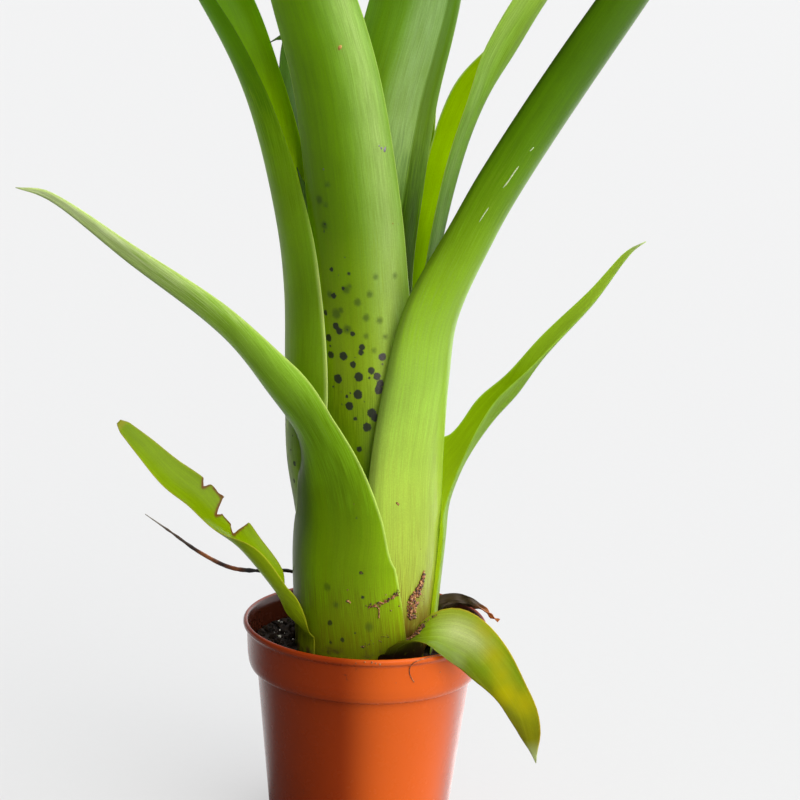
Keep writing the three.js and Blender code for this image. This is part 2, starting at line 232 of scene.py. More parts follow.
blade = {  # how a leaf is meshed, and how its tip and margins run out
    "step": 1.6, "acrossStep": 0.9, "pathSteps": 600, "nudge": 0.001, "levelRows": 0.5,
    "tip": (0, 6, 0.6), "bittenTip": (0.6, 2.5, 0.5), "leastWidth": 0.12,  # start and length in mm, and the power
    "rim": 0.16, "leastHalf": 0.3, "thinFrom": 0.5, "tipThinness": 0.35, "tipThinLength": 20,
    "whole": 0.97, "tearDepth": 0.16, "tearsPerMm": 1.3, "roundings": 2, "biteSteps": 160, "findStep": 0.5,
    "crumplesPerMm": 0.45, "crumplesAcross": 1.7, "crumpleFrom": 2, "crumpleFull": 8, "spotStretch": 1.12,
}

leafMarks = {"blotch": "blotches", "spot": "spots", "wound": "bites"}  # the mesh attribute that each list gives

leaves = {
    "leaf_left_low": {
        "spots": [(20.8, 8.6, 0.5), (14, 8.6, 0.45), (13, 4.9, 0.4), (7.3, 0, 0.65), (3.3, 2.8, 0.55),
            (2.3, -0.3, 0.4), (34.3, 6.7, 0.2), (5, 6, 0.25), (1.8, 7.5, 0.4)],
        "blotches": [(16.3, 0, 0.9), (6.3, 9.4, 0.9), (12, 2, 0.7)], "fine": (0, 42, 0.45), "acrossStep": 0.42,
        "layer": 0, "foot": (246, 133.4), "sheath": [(68, 239.4, 108.2), (79, 242.2, 79.8)],
        "blade": [(-11, -16.7, 90, 21, 18.1, 235), (-15.9, -15, 101, 18.6, 12.1, 213.2),
            (-24.9, -14, 112, 17, 6.7, 216.3), (-35.9, -17, 125.5, 11, 5.5, 224), (-56.4, -22, 142, 6.5, 4.5, 226),
            (-75.9, -25, 156.5, 2.4, 3, 226), (-82.4, -26, 158, 1.2, 3, 226)],
    },
    "leaf_right_low": {
        "layer": -0.5, "foot": (28.9, 91.2), "sheath": [(68, 30, 88.8), (80, 25.1, 86.1)],
        "blade": [(21.9, 3.6, 90.9, 16.4, 12.1, 7.4), (28.3, 0.7, 101.5, 15.4, 7.2, 3.8, -5),
            (34, 0, 108.5, 12.7, 4.6, 4, -3), (40.4, 0, 119, 8.4, 5, 14), (51.1, 0, 132, 6.4, 5, 12),
            (59.6, 0, 144.2, 3, 3.5, 10), (62.6, 0, 146.3, 1.2, 3, 10)],
    },
    "leaf_back_low": {
        "layer": 0, "foot": (124, 92), "sheath": [(70, 118, 78), (82, 108, 52)],
        "blade": [(-6.7, 19.5, 98, 17, 14, 108), (-8.9, 28, 111, 16, 8, 104), (-10.4, 43, 126, 13, 6.5, 102),
            (-11.4, 62, 141, 9, 5.5, 100), (-11.4, 80, 153, 3, 4, 100), (-10.4, 86, 154, 1.2, 3, 100)],
    },
    "leaf_right_tall": {
        "layer": 0.8, "foot": (316, 96), "sheath": [(72, 312, 88), (92, 310, 80)],
        "blade": [(13.3, -15, 114, 23, 12, 310), (14.9, -17, 128, 20, 9.5, 306), (22.8, -23, 149, 17, 6.2, 300),
            (29.5, -27, 163.6, 16.9, 5.6, 298), (48.1, -35, 197.5, 15.4, 5.6, 296), (68.6, -44, 231, 12.1, 5.5, 298),
            (86.6, -54, 252, 6, 5, 300), (96.6, -61, 260, 1.2, 4, 300)],
    },
    "leaf_left_tall": {
        "spots": [(41.9, 6.3, 0.65), (37.1, 4.7, 0.55), (49.3, 6.3, 0.3), (33.5, 5.6, 0.35), (45.2, 4.9, 0.3)],
        "fine": (28, 52, 0.4), "acrossStep": 0.5, "layer": 2, "foot": (187, 124), "sheath": [(68, 187, 122)],
        "blade": [(-17.8, -1.8, 79, 33, 15.6, 187), (-20, -1.5, 91, 32, 15, 187), (-21, -2.2, 112, 35.5, 16, 186),
            (-21.8, -1.8, 131.5, 32, 15, 186), (-24.4, -1.5, 149.3, 31, 13, 180), (-32, -1, 177.4, 25, 9.8, 172),
            (-42.4, -1, 199, 24.4, 9.2, 162.5), (-63.4, -1, 231, 17, 8.5, 151.5), (-84.4, -3, 247, 1.2, 8, 150)],
    },
    "leaf_front": {
        "spots": [(84.3, -5.9, 0.65), (90.5, -6, 0.5), (89.3, -4.3, 0.2), (89.6, -1.8, 0.35), (86.2, -3.4, 0.4),
            (80, -8.7, 0.6), (77, -6, 0.8), (75.9, -5.2, 0.8), (76.3, -3.2, 0.2), (75.3, -2, 0.6), (74, -8.3, 0.85),
            (72, -8, 0.3), (69.8, -8, 0.85), (69.8, -4.6, 1), (72, -0.1, 0.7), (70.7, -0.4, 0.65), (69.6, -1.8, 0.2),
            (67.8, -2.4, 0.75), (69.3, 4.4, 0.85), (67.6, 4.3, 0.25), (66.3, 1.7, 0.8), (64.5, 1.2, 0.3),
            (64.8, 3, 0.85), (64, -6.3, 1.05), (64.8, -1.2, 1.05), (63, 3.7, 0.9), (61.6, 3.3, 1), (60.5, -1.5, 1.05),
            (59.8, -4.1, 0.4), (57.8, -5.4, 0.25), (57.5, -3.6, 0.95), (56, 1.6, 1.05), (54.9, 2.3, 0.9),
            (52.5, 0.5, 1), (54.5, -2.2, 0.45), (47, -1.3, 0.65), (58.8, -0.1, 0.2), (61.8, -7.6, 0.3),
            (60.8, -5.6, 0.2), (60.8, -3.3, 0.2), (117, 9.4, 0.35), (99.5, 11.1, 0.2), (101.3, -6.8, 0.3),
            (99.5, -7.3, 0.25), (114.3, -5.6, 0.2), (93.5, -2.5, 0.2)],
        "blotches": [(85.8, -2.7, 0.8), (86.6, -1.8, 0.5), (82.8, -0.3, 0.8), (88.5, 4.2, 0.6), (88, 9, 0.6),
            (84.5, 2.6, 0.7), (79, 1.4, 0.8), (78, 4.4, 0.7), (80, -5.6, 1.1), (80.9, -4.4, 0.6), (76.4, -3.2, 0.9),
            (74.6, 1, 0.6), (74, 5.4, 0.5), (71, 2.6, 0.5), (84.5, -7, 0.7), (101, -7, 0.8), (107, -7.6, 0.9),
            (106, -6, 0.5), (111, -5, 0.6)], "fine": (44, 104, 0.32), "layer": 3, "foot": (266, 130),
        "sheath": [(72, 266, 124), (92, 266, 112)], "step": 1.0, "acrossStep": 0.38,
        "blade": [(-2.4, -16.4, 116, 27.5, 14.5, 266), (-4.2, -17.1, 133.5, 26.6, 13.5, 266),
            (-6.4, -18.2, 153.5, 25.6, 13, 266), (-11.4, -23.5, 184, 23.4, 12, 267), (-17.2, -29, 204, 21, 11.5, 268),
            (-27.4, -43, 233, 14, 10, 270), (-39.4, -54, 252, 1.2, 9, 272)],
    },
    "leaf_back": {
        "layer": 3, "foot": (80, 120), "sheath": [(74, 80, 116), (96, 80, 104)],
        "blade": [(1.6, 17, 124, 24, 13, 80), (3.6, 20, 152, 22, 11, 80), (5.1, 27, 184, 20, 10, 80),
            (10.6, 38, 214, 17, 9, 78), (15.6, 54, 238, 9, 7, 76), (19.6, 66, 247, 1.2, 6, 76)],
    },
    "leaf_centre": {
        "layer": 4, "foot": (272, 130), "sheath": [(75, 272, 126), (95, 270, 112)],
        "blade": [(-2.9, -14.3, 135, 25, 14, 269), (-0.7, -13.3, 158.5, 24.5, 13.5, 272),
            (2.3, -14.3, 180, 25, 13, 277), (7.5, -16, 202.7, 25, 12, 282), (13.1, -17.5, 236, 20, 11, 285),
            (16.6, -20.5, 262, 10, 10, 286), (18.1, -23, 276, 1.2, 9, 286)],
    },
    "leaf_back_left": {
        "layer": 4, "foot": (122, 112), "sheath": [(76, 120, 108), (98, 120, 98)],
        "blade": [(-8.4, 12.5, 136, 22, 11.5, 118), (-13.8, 15.8, 162, 21, 11, 108),
            (-20.3, 20.4, 184, 20.1, 10.5, 122), (-14.4, 28, 208, 15.5, 10, 126), (-16.4, 40, 230, 9, 8, 120),
            (-18.4, 50, 240, 1.2, 7, 118)],
    },
    "leaf_right_inner": {
        "layer": 5, "foot": (5, 130), "sheath": [(78, 6, 120), (98, 8, 104)],
        "blade": [(11.9, 2.2, 126, 22, 12, 13), (16.7, 1, 158, 22, 10.5, 12), (22, 1, 176, 22.5, 10, 10),
            (28.9, 1, 188.6, 23, 10, -6), (39.2, 1.5, 206.5, 23.5, 9.5, -2), (59.6, 3, 232, 15, 8, -6),
            (76.6, 4, 250, 1.2, 7, -6)],
    },
    "leaf_hooked": {
        "layer": 6, "foot": (160, 140), "sheath": [(80, 160, 132), (102, 160, 116)],
        "blade": [(-11, 3, 130, 17, 8.5, 160), (-12.2, 2, 156, 12, 7, 165), (-14.4, 1, 174, 8, 5, 170),
            (-18.9, 0, 185.8, 4, 4, 180), (-23.9, 0, 191.1, 2.4, 3, 200), (-27.2, 0, 189.6, 1.2, 3, 200)],
    },
    "leaf_young": {
        "layer": 7, "foot": (40, 150), "sheath": [(82, 40, 140), (104, 40, 120)],
        "blade": [(3.6, 4, 134, 15, 8, 40), (5.1, 4.5, 166, 13, 6.5, 40), (7.6, 5.5, 196, 10, 5, 40),
            (10.6, 7.5, 220, 5, 4, 40), (12.6, 9, 231, 1.2, 3, 40)],
    },
    "leaf_left_chewed": {
        "layer": -1, "foot": (217, 24), "sheath": [(50, 218, 22)], "slot": "old_leaf", "step": 0.5, "acrossStep": 0.4,
        "bites": [(4.35, 1), (4.42, 0.05), (4.65, 0.38), (5.05, 0.4), (5.15, 0.05), (5.35, 0.9), (5.88, 1),
            (5.95, 0.6), (6.08, 1)],
        "blade": [(-17.2, -16.6, 55.4, 8.2, 6, 220, -2), (-21.8, -18.5, 63.4, 13.3, 6, 188),
            (-29.3, -19, 72.7, 14.2, 6, 180, -7), (-35.3, -19, 79.3, 11.7, 7, 152, -14),
            (-41, -19, 85.5, 9.6, 8, 138, -22), (-47, -19, 90.2, 8.4, 9, 133, -22),
            (-53, -19, 96.4, 5.9, 9, 130, -20), (-59, -19, 102.4, 3, 9, 130, -20)],
    },
    "leaf_right_drooping": {
        "blotches": [(28.9, 2, 2.6), (33, 0.6, 2.2), (37.5, -0.8, 2.6), (24, 4.6, 1.6), (41.5, 1.5, 2.4)],
        "acrossStep": 0.45, "layer": -1, "foot": (304, 44), "sheath": [(47.5, 305, 42)], "slot": "old_leaf",
        "blade": [(10.8, -17.5, 51, 10.5, 9, 335, -42), (18.4, -19.5, 53.6, 14, 12, 390, -50),
            (25.1, -22, 52.6, 13, 14, 406, -32), (30.2, -25, 48.9, 11.8, 14, 412, -28),
            (35.2, -28, 43.3, 8.6, 12, 421, -21), (39.1, -30, 36.8, 7.3, 10, 421, -13),
            (41.6, -32, 27, 1.6, 9, 420, -8)],
    },
    "dry_leaf": {
        "layer": -1.8, "foot": (24, 16), "sheath": [(48.5, 24, 16)], "slot": "dry_leaf", "crumple": 1, "step": 0.45,
        "acrossStep": 0.5,
        "blade": [(17.6, 8.5, 50.6, 6, 4, 30, -10), (20.2, 8.4, 52.1, 5.6, 2.4, 30, -50),
            (24.6, 7.4, 52.6, 4.6, 2.2, 30, -80), (28.8, 5.4, 51.8, 2.8, 2, 20, -110),
            (32.5, 3.6, 49.6, 1.2, 2, 10, -120)],
    },
}


def sheathRow(layer, height, azimuth, wrap):
    radius = bundle["outerRadius"] - layer * bundle["layerPitch"]
    radius += bundle["swell"] * float(smoothStep(bundle["swellFrom"], bundle["swellTo"], height))
    x, y, z = around(radius, math.radians(azimuth), height)
    return (bundle["centreX"] + x, y, z, radius * math.radians(wrap), radius, azimuth)


def leafRows(leaf):  # every row as x, y, z, width, 1 / curl radius, azimuth and elevation in radians
    reach = bundle["outerRadius"] - leaf["layer"] * bundle["layerPitch"] - bundle["thickness"] / 2
    foot = bundle["stemTop"] + bundle["stemRadius"] - reach + bundle["footRise"] - bundle["skirt"]
    rows = [sheathRow(leaf["layer"], *row) for row in [(foot, *leaf["foot"])] + leaf["sheath"]] + leaf["blade"]
    return np.array([(*r[:4], 1 / r[4], math.radians(r[5]), math.radians(r[6] if len(r) > 6 else 0)) for r in rows])


def splineAt(rows, places, centripetal=True):  # a Catmull-Rom curve through the rows, at places from 0 to 1
    last = len(rows) - 1
    padded = np.vstack([2 * rows[0] - rows[1], rows, 2 * rows[-1] - rows[-2]])
    index = np.minimum((places * last).astype(int), last - 1)
    share = (places * last - index)[:, None]
    p0, p1, p2, p3 = (padded[index + k] for k in range(4))
    start, end = (p2 - p0) / 2, (p3 - p1) / 2
    if centripetal:
        pairs = ((p0, p1), (p1, p2), (p2, p3))
        d0, d1, d2 = (np.sqrt(np.linalg.norm(b - a, axis=1, keepdims=True)) for a, b in pairs)
        start = ((p1 - p0) / d0 - (p2 - p0) / (d0 + d1) + (p2 - p1) / d1) * d1
        end = ((p2 - p1) / d1 - (p3 - p1) / (d1 + d2) + (p3 - p2) / d2) * d1
    cubic = 2 * p1 - 2 * p2 + start + end
    return p1 + start * share + (3 * p2 - 3 * p1 - 2 * start - end) * share ** 2 + cubic * share ** 3


class LeafForm:  # the middle surface of a leaf, by place along it, share across it and offset outwards
    def __init__(self, leaf, places):
        rows = leafRows(leaf)
        self.centre = splineAt(rows[:, :3], places)
        ahead = splineAt(rows[:, :3], np.minimum(places + blade["nudge"], 1))
        tangent = unit(ahead - splineAt(rows[:, :3], np.maximum(places - blade["nudge"], 0)))
        risen = smoothStep(0, blade["levelRows"] / (len(rows) - 1), places)[:, None]  # the foot is level
        tangent = unit(tangent * risen + np.array((0, 0, 1.0)) * (1 - risen))
        self.width, self.bend, face, tilt = splineAt(rows[:, 3:], places, False).T
        outward = np.stack([np.cos(tilt) * np.cos(face), np.cos(tilt) * np.sin(face), np.sin(tilt)], 1)
        self.outward = unit(outward - tangent * np.sum(outward * tangent, 1, keepdims=True))
        self.side = np.cross(tangent, self.outward)

    def point(self, shares, offsets):  # arrays of one row for each place
        turn = shares * (self.width * self.bend / 2)[:, None]
        radius = 1 / self.bend[:, None] + offsets
        sideways = (radius * np.sin(turn))[..., None] * self.side[:, None]
        outwards = (radius * np.cos(turn) - 1 / self.bend[:, None])[..., None] * self.outward[:, None]
        return self.centre[:, None] + sideways + outwards


def evenPlaces(leaf, step):  # places along the leaf about step mm apart, and how far up the leaf each one is
    fine = np.linspace(0, 1, blade["pathSteps"])
    rows = leafRows(leaf)
    path = splineAt(rows[:, :3], fine)
    travelled = np.concatenate([[0], np.cumsum(np.linalg.norm(np.diff(path, axis=0), axis=1))]) - bundle["skirt"]
    stops = np.linspace(travelled[0], travelled[-1], int(travelled[-1] / step) + 1)
    low, high, closer = leaf.get("fine", (0, 0, 1))
    stops = np.unique(np.concatenate([stops[(stops < low) | (stops > high)], np.arange(low, high, closer)]))
    bites = [row / (len(rows) - 1) for row, _ in leaf.get("bites", [])]
    places = np.unique(np.concatenate([np.interp(stops, travelled, fine), bites]))
    return places, np.interp(places, fine, travelled)


def nearestMark(marks, along, across):  # how far inside the nearest mark's rim each point lies, in mm
    reach = [radius - np.hypot((along - markAlong) / blade["spotStretch"], across - markAcross)
             for markAlong, markAcross, radius in marks]
    return np.maximum(np.max(reach, axis=0), -9)


def woundDepth(bites, places, travelled, halfWidth, last, along, across):  # distance to the bitten edge, in mm
    rows = np.linspace(bites[0][0], bites[-1][0], blade["biteSteps"])
    kept = np.interp(rows, *zip(*bites))
    edgeAlong = np.interp(rows / last, places, travelled)
    edgeAcross = -kept * np.interp(rows / last, places, halfWidth)
    torn = np.flatnonzero(kept < blade["whole"])
    return np.min([np.hypot(along - edgeAlong[i], across - edgeAcross[i]) for i in torn], axis=0)


def keptShares(leaf, places, travelled, last):  # how much of the bitten half is left at each place
    kept = np.interp(places * last, *zip(*leaf["bites"]))
    ragged = np.array([noise.noise(Vector((t * blade["tearsPerMm"], 0.5, 3.1))) for t in travelled])
    kept = np.where(kept < blade["whole"], kept + blade["tearDepth"] * ragged, kept)
    for _ in range(blade["roundings"]):  # the bitten corners have dried round
        kept[1:-1] = (kept[:-2] + 2 * kept[1:-1] + kept[2:]) / 4
    return kept


def leafFaces(rings, count):  # rings of the outer face, a margin, the inner face and the other margin
    size = 2 * count + 4
    faces = [(j * size + i, j * size + (i + 1) % size, (j + 1) * size + (i + 1) % size, (j + 1) * size + i)
             for j in range(rings - 1) for i in range(size)]
    for start, flip in ((0, False), ((rings - 1) * size, True)):  # the two ends, closed by strips
        for i in range(count):
            quad = [start + i, start + 2 * count + 2 - i, start + 2 * count + 1 - i, start + i + 1]
            faces.append(quad[::-1] if flip else quad)
        for corner in ((count, count + 1, count + 2), (2 * count + 2, 2 * count + 3, 0)):
            tri = [start + c for c in corner]
            faces.append(tri if flip else tri[::-1])
    return faces


def buildLeaf(name, leaf, material):
    places, travelled = evenPlaces(leaf, leaf.get("step", blade["step"]))
    form = LeafForm(leaf, places)
    last = len(leafRows(leaf)) - 1
    left = travelled[-1] - travelled
    start, length, power = blade["bittenTip" if leaf.get("bites") else "tip"]
    form.width = form.width * np.maximum(np.clip((left + start) / length, 0, 1) ** power, blade["leastWidth"])
    halfWidth = form.width / 2
    count = int(form.width.max() / leaf.get("acrossStep", blade["acrossStep"])) + 2
    rim = blade["rim"] / np.maximum(halfWidth, blade["leastHalf"])  # share taken by the rounded margin
    shares = np.linspace(-1, 1, count + 1)[None] * (1 - rim)[:, None]
    kept = np.ones((len(places), 1))
    if leaf.get("bites"):
        kept = keptShares(leaf, places, travelled, last)[:, None]
    shares = (shares + 1) / 2 * (1 + kept) - kept
    thin = smoothStep(blade["thinFrom"], 1, np.abs(shares))
    half = (bundle["thickness"] * (1 - thin) + bundle["marginThickness"] * thin) / 2
    thinTip = blade["tipThinness"]
    half = half * (thinTip + (1 - thinTip) * np.clip(left / blade["tipThinLength"], 0, 1))[:, None]
    wave = np.zeros(shares.shape)
    if leaf.get("crumple"):
        wave = np.array([[noise.noise(Vector((t * blade["crumplesPerMm"], s * blade["crumplesAcross"], 7.0)))
                          for s in row] for t, row in zip(travelled, shares)])
        wave *= leaf["crumple"] * smoothStep(blade["crumpleFrom"], blade["crumpleFull"], travelled)[:, None]
    low, high = -kept, np.ones(kept.shape)
    ring = [form.point(shares, wave + half), form.point(high, wave[:, -1:]),
            form.point(shares, wave - half)[:, ::-1], form.point(low, wave[:, :1])]
    points = np.concatenate(ring, 1)
    across = np.concatenate([shares, high, shares[:, ::-1], low], 1)
    acrossMm = across * halfWidth[:, None]
    along = np.broadcast_to(travelled[:, None], across.shape)
    attributes = {
        "along": along, "across": across, "acrossMm": acrossMm, "left": np.broadcast_to(left[:, None], across.shape),
        "side": np.broadcast_to([1] * (count + 1) + [0] + [-1] * (count + 1) + [0], across.shape),
        "margin": (1 - np.abs(across)) * halfWidth[:, None],
    }
    for title in ("spot", "blotch"):
        if leaf.get(leafMarks[title]):
            attributes[title] = nearestMark(leaf[leafMarks[title]], along, acrossMm)
    if leaf.get("bites"):
        attributes["wound"] = woundDepth(leaf["bites"], places, travelled, halfWidth, last, along, acrossMm)
    return addPiece(name.replace("_", "") + "Look", points.reshape(-1, 3), leafFaces(len(places), count), material,
                    name, leaf.get("slot", "leaf"), attributes)


def surfacePoint(leaf, along, acrossMm, lift):  # a point this far above the outer face, and the way out
    places, travelled = evenPlaces(leaf, blade["findStep"])
    form = LeafForm(leaf, np.interp([along], travelled, places))
    share = np.array([[acrossMm / (form.width[0] / 2)]])
    middle, outside, point = (form.point(share, np.array([[offset]]))[0, 0]
                              for offset in (0.0, 1.0, bundle["thickness"] / 2 + lift))
    return point, outside - middle


# Fresh leaf: thin, smooth and waxy, so light glows through it, veins run along it and its margins are paler.
# Its colours run by height; the pale wax coat with its painted sheen, the tone (painted light and shade) and the margin
# by share across the leaf, from its right margin to its left

leafLook = {
    "surface": "waxyCuticle",
    "outer": [(46, "#8f9410"), (80, "#8cae06"), (120, "#7ca604"), (200, "#6a9c02")],
    "inner": [(60, "#98b40a"), (200, "#86ac00")], "waxAndSheen": [(-1, 0), (1, 0)], "waxAndSheenColour": "#deecaa",
    "waxAndSheenHeight": [(0, 1), (300, 1)], "tone": [(-1, 1), (1, 1)], "innerTone": [(-1, 1), (1, 1)],
    "margin": "#c4dc70", "marginWidth": 0.5, "marginAcross": [(-1, 1), (1, 1)], "marginHeight": [(0, 1), (300, 1)],
    "sheen": [(-1, 0), (1, 0)], "sheenAlong": [(0, 1), (300, 1)], "tip": "#b9c98a", "tipLength": 6,
    "streak": 0.08, "grain": 0.2, "veinShift": 50, "through": 0.35, "roughness": 0.32, "gloss": 0.3, "ior": 1.4,
    "blotchColour": "#33481c", "blotchEdge": 0.5, "blotchShare": 0.5, "spotColour": "#26242a",
    "spotPale": "#26242a", "spotEdge": 0.14, "spotShare": 0.93, "woundColour": "#6e3a1c",
    "stainColour": "#5a4a22", "stainLength": 4, "stainFrom": 0.4, "reliefMm": 0.06, "relief": 0.4,
    "patterns": {  # width and length in mm in the leaf's own lanes, or one size in mm; detail and roughness
        "streaks": ((0.8333, 83.33), 3, 0.65),  # soft stripes about 1 to 3 mm wide that run tens of mm
        "veins": ((0.2381, 8.333), 2, 0.6),  # rows of cells, some 0.3 mm wide and 8 mm long
        "scales": (0.3125, 2, 0.6),  # the grain of the scurf
        "cloud": (18.18, 2, 0.6), "damp": (2.381, 4, 0.6), "tears": (0.5, 3, 0.6),
    },
}

leafRamps = {  # what each list of stops runs along, and the metres in one of its units
    "outer": ("veinedHeight", mm), "inner": ("height", mm), "waxAndSheenHeight": ("height", mm),
    "marginHeight": ("height", mm), "sheenAlong": ("along", 1), "waxAndSheen": ("across", 1), "tone": ("across", 1),
    "innerTone": ("across", 1), "sheen": ("across", 1), "marginAcross": ("across", 1),
}

leafTints = {
    "leaf_left_low": {  # a soft yellow-green sheath, greyer along the thin blade, with a pale left margin; its tone is painted shade towards one margin and painted light near the middle and the other margin, and a narrow pale band of wax and painted sheen runs along the blade
        "outer": [(46, "#7c8010"), (66, "#82a40e"), (85, "#6c9008"), (100, "#7caa16"), (128, "#8eb63e"),
            (142, "#b4ca80"), (158, "#ccd8ac")],
        "tone": [(-1, 0.56), (-0.6, 0.6), (-0.35, 1.05), (-0.12, 1.28), (0.08, 1.04), (0.4, 0.92), (0.65, 1),
            (1, 1.3)], "waxAndSheen": [(-1, 0), (-0.4, 0), (-0.22, 0.1), (-0.12, 0.12), (0.06, 0), (1, 0)],
        "waxAndSheenHeight": [(100, 0), (114, 1)], "marginHeight": [(57, 0.1), (66, 1)], "gloss": 0.14, "marginWidth": 0.8,
        "spotColour": "#3e4420", "stainLength": 2, "stainFrom": 0.5,
    },
    # painted light: the inner face is tinted brighter for the light glowing through it
    "leaf_right_low": {
        "outer": [(46, "#bccc3c"), (80, "#a8cc2c"), (100, "#90b414"), (115, "#84a818"), (150, "#98b834")],
        "inner": [(80, "#90b004"), (112, "#80a002"), (128, "#a4c42c"), (150, "#b4d044")], "through": 0.7,
        "gloss": 0.12, "margin": "#acd438", "waxAndSheen": [(-1, 0.4), (-0.85, 0.34), (-0.6, 0.1), (-0.4, 0), (1, 0)],
        "waxAndSheenColour": "#c0d8a0",
    },
    "leaf_right_tall": {  # pale where the sheath is young and thick, full green where the blade is in the light; its tone is painted shade along one margin and painted light along the other
        "outer": [(52, "#8c7c24"), (62, "#a0ac3c"), (72, "#aabe44"), (112, "#a0c648"), (142, "#8eb81c"),
            (157, "#749e08"), (172, "#5e8a00"), (190, "#4c7400")],
        "tone": [(-1, 0.52), (-0.9, 0.56), (-0.8, 1.04), (-0.64, 1.2), (-0.4, 1.08), (0, 1), (0.4, 0.88),
            (0.75, 1.05), (1, 1.6)], "stainLength": 11, "stainColour": "#6a4c18", "stainFrom": 0.24,
        "marginAcross": [(-1, 0), (0, 0), (0.2, 1), (1, 1)],
    },
    # painted light: the inner face is tinted a bright lime for the light glowing through it, the pale grey band near
    # the middle of its width is a painted sheen, strongest low on the sheath, and the pale margin below about 150 mm is
    # partly a painted highlight
    "leaf_left_tall": {
        "outer": [(80, "#90b81c"), (110, "#9cbe26"), (150, "#96bc28"), (168, "#749814"), (180, "#446806"),
            (205, "#305008")], "inner": [(150, "#c8f008"), (170, "#b0e400"), (185, "#80b400"), (205, "#64a000")],
        "through": 0.7,
        "waxAndSheen": [(-1, 0), (-0.3, 0.15), (0, 0.5), (0.1, 0.5), (0.22, 0.3), (0.34, 0.08), (0.5, 0), (1, 0)],
        "waxAndSheenColour": "#d4d8cc", "waxAndSheenHeight": [(80, 1.8), (99, 1.8), (112, 1), (300, 1)], "marginWidth": 1.3,
        "margin": "#e8f898", "marginHeight": [(100, 1.15), (138, 1.15), (150, 0.3), (158, 0)],
    },
    "leaf_front": {  # pale wax with a painted highlight on the half towards the light, and painted shade in the tone on the other half
        "outer": [(46, "#747c0c"), (85, "#7ea40a"), (103, "#86a80e"), (114, "#9cbc14"), (150, "#78a404"),
            (200, "#72a400")],
        "waxAndSheen": [(-1, 0), (-0.1, 0), (0.15, 0.04), (0.4, 0.18), (0.65, 0.32), (0.85, 0.18), (1, 0)],
        "waxAndSheenHeight": [(95, 0.4), (112, 0.95), (150, 1)], "spotPale": "#5c4e60", "blotchShare": 0.62,
        "tone": [(-1, 0.95), (-0.45, 0.8), (-0.1, 0.8), (0.15, 0.94), (0.4, 1.05), (1, 0.95)],
    },
    # painted shade: darker low down, where it stands in the gap between its neighbours, and its tone paints light and
    # shade across it
    "leaf_centre": {
        "outer": [(135, "#3c5800"), (148, "#426200"), (160, "#5c8604"), (172, "#7ca604"), (200, "#6a9c02")],
        "gloss": 0.22,
        "waxAndSheen": [(-1, 0.08), (-0.6, 0.02), (-0.25, 0.04), (0, 0.26), (0.3, 0.3), (0.48, 0.24), (0.53, 0.06),
            (0.75, 0.02), (1, 0.2)], "waxAndSheenColour": "#d0e4bc", "waxAndSheenHeight": [(152, 0), (170, 1)],
        "tone": [(-1, 1.4), (-0.8, 1.05), (-0.5, 0.88), (0, 1), (0.48, 0.9), (0.54, 0.54), (0.8, 0.56), (1, 0.95)],
    },
    # painted light and shade: its outer face is darker low down, where taller leaves shadow it, and paler high up in
    # the light; its tone paints light and shade across it; its inner face is tinted a bright lime for the light glowing
    # through it
    "leaf_right_inner": {
        "outer": [(140, "#3c6004"), (160, "#729c18"), (180, "#98c43c"), (205, "#bce068")], "gloss": 0.2,
        "tone": [(-1, 1.35), (-0.6, 1.1), (-0.35, 0.84), (1, 0.84)],
        "inner": [(60, "#b4d400"), (152, "#b0d000"), (172, "#9cbc00"), (200, "#84a600")], "through": 0.8,
        "waxAndSheen": [(-1, 0), (-0.94, 0.16), (-0.8, 0.3), (-0.66, 0.1), (-0.5, 0), (1, 0)], "waxAndSheenColour": "#dce8d4",
    },
    "leaf_hooked": {
        "outer": [(100, "#4c6a10"), (190, "#5c8824")], "inner": [(100, "#4c6a10"), (190, "#5c8824")],
        "tip": "#4c6c20", "margin": "#5c8824",
    },
    "leaf_back_left": {  # painted shade: darker tints for the shaded heart of the bundle
        "outer": [(46, "#8f9410"), (120, "#5c8414"), (200, "#4c7814")],
        "inner": [(120, "#587c10"), (170, "#4c701c"), (200, "#4c7420")], "through": 0.2, "margin": "#4c6c20",
    },
    "leaf_left_chewed": {
        "surface": "agedCuticle", "outer": [(46, "#7c8a10"), (62, "#98b010"), (100, "#7c9a00")],
        "inner": [(55, "#84a000"), (100, "#769200")], "tip": "#8c8a1c", "tipLength": 2, "margin": "#a0a020",
        "blotchColour": "#b4b000", "gloss": 0.15, "stainLength": 1.5,
    },
    "leaf_right_drooping": {  # an old leaf: green by the stalk, yellow in patches and along its margins; its inner face carries painted shade towards one margin and a painted highlight across the middle
        "surface": "agedCuticle", "outer": [(30, "#8c9410"), (60, "#a0a818")],
        "inner": [(34, "#8c8c04"), (42, "#a0a80c"), (47, "#88a80c"), (52, "#8cac10"), (55, "#a0c020"),
            (58, "#b4c83c")],
        "innerTone": [(-1, 0.52), (-0.85, 0.58), (-0.6, 0.76), (-0.35, 0.94), (-0.1, 1.12), (0.2, 1.25), (0.45, 1.15),
            (0.7, 1.04), (1, 0.95)],
        "sheen": [(-1, 0), (-0.5, 0.06), (-0.1, 0.34), (0.2, 0.56), (0.6, 0.36), (0.85, 0.04), (1, 0)],
        "waxAndSheenColour": "#ecf0c0", "sheenAlong": [(0, 0), (12, 0), (18, 1), (23, 1), (29, 0.1), (40, 0)],
        "margin": "#c4a828", "marginWidth": 0.55, "marginAcross": [(-1, 0.15), (0, 0.3), (1, 1)],
        "blotchColour": "#d0c404", "blotchEdge": 2.2, "blotchShare": 0.62, "roughness": 0.24, "gloss": 0.4,
        "through": 0.45, "stainLength": 15, "stainColour": "#2c1c10", "stainFrom": 0.16, "streak": 0.1,
    },
    "dry_leaf": {
        "surface": "driedLeaf", "outer": [(46, "#2c2214"), (54, "#3c2e1c")],
        "inner": [(46, "#2c2214"), (54, "#3c2e1c")], "margin": "#2c2014", "tip": "#b0622a", "tipLength": 8,
        "streak": 0.4, "through": 0.15, "roughness": 0.55,
    },
}


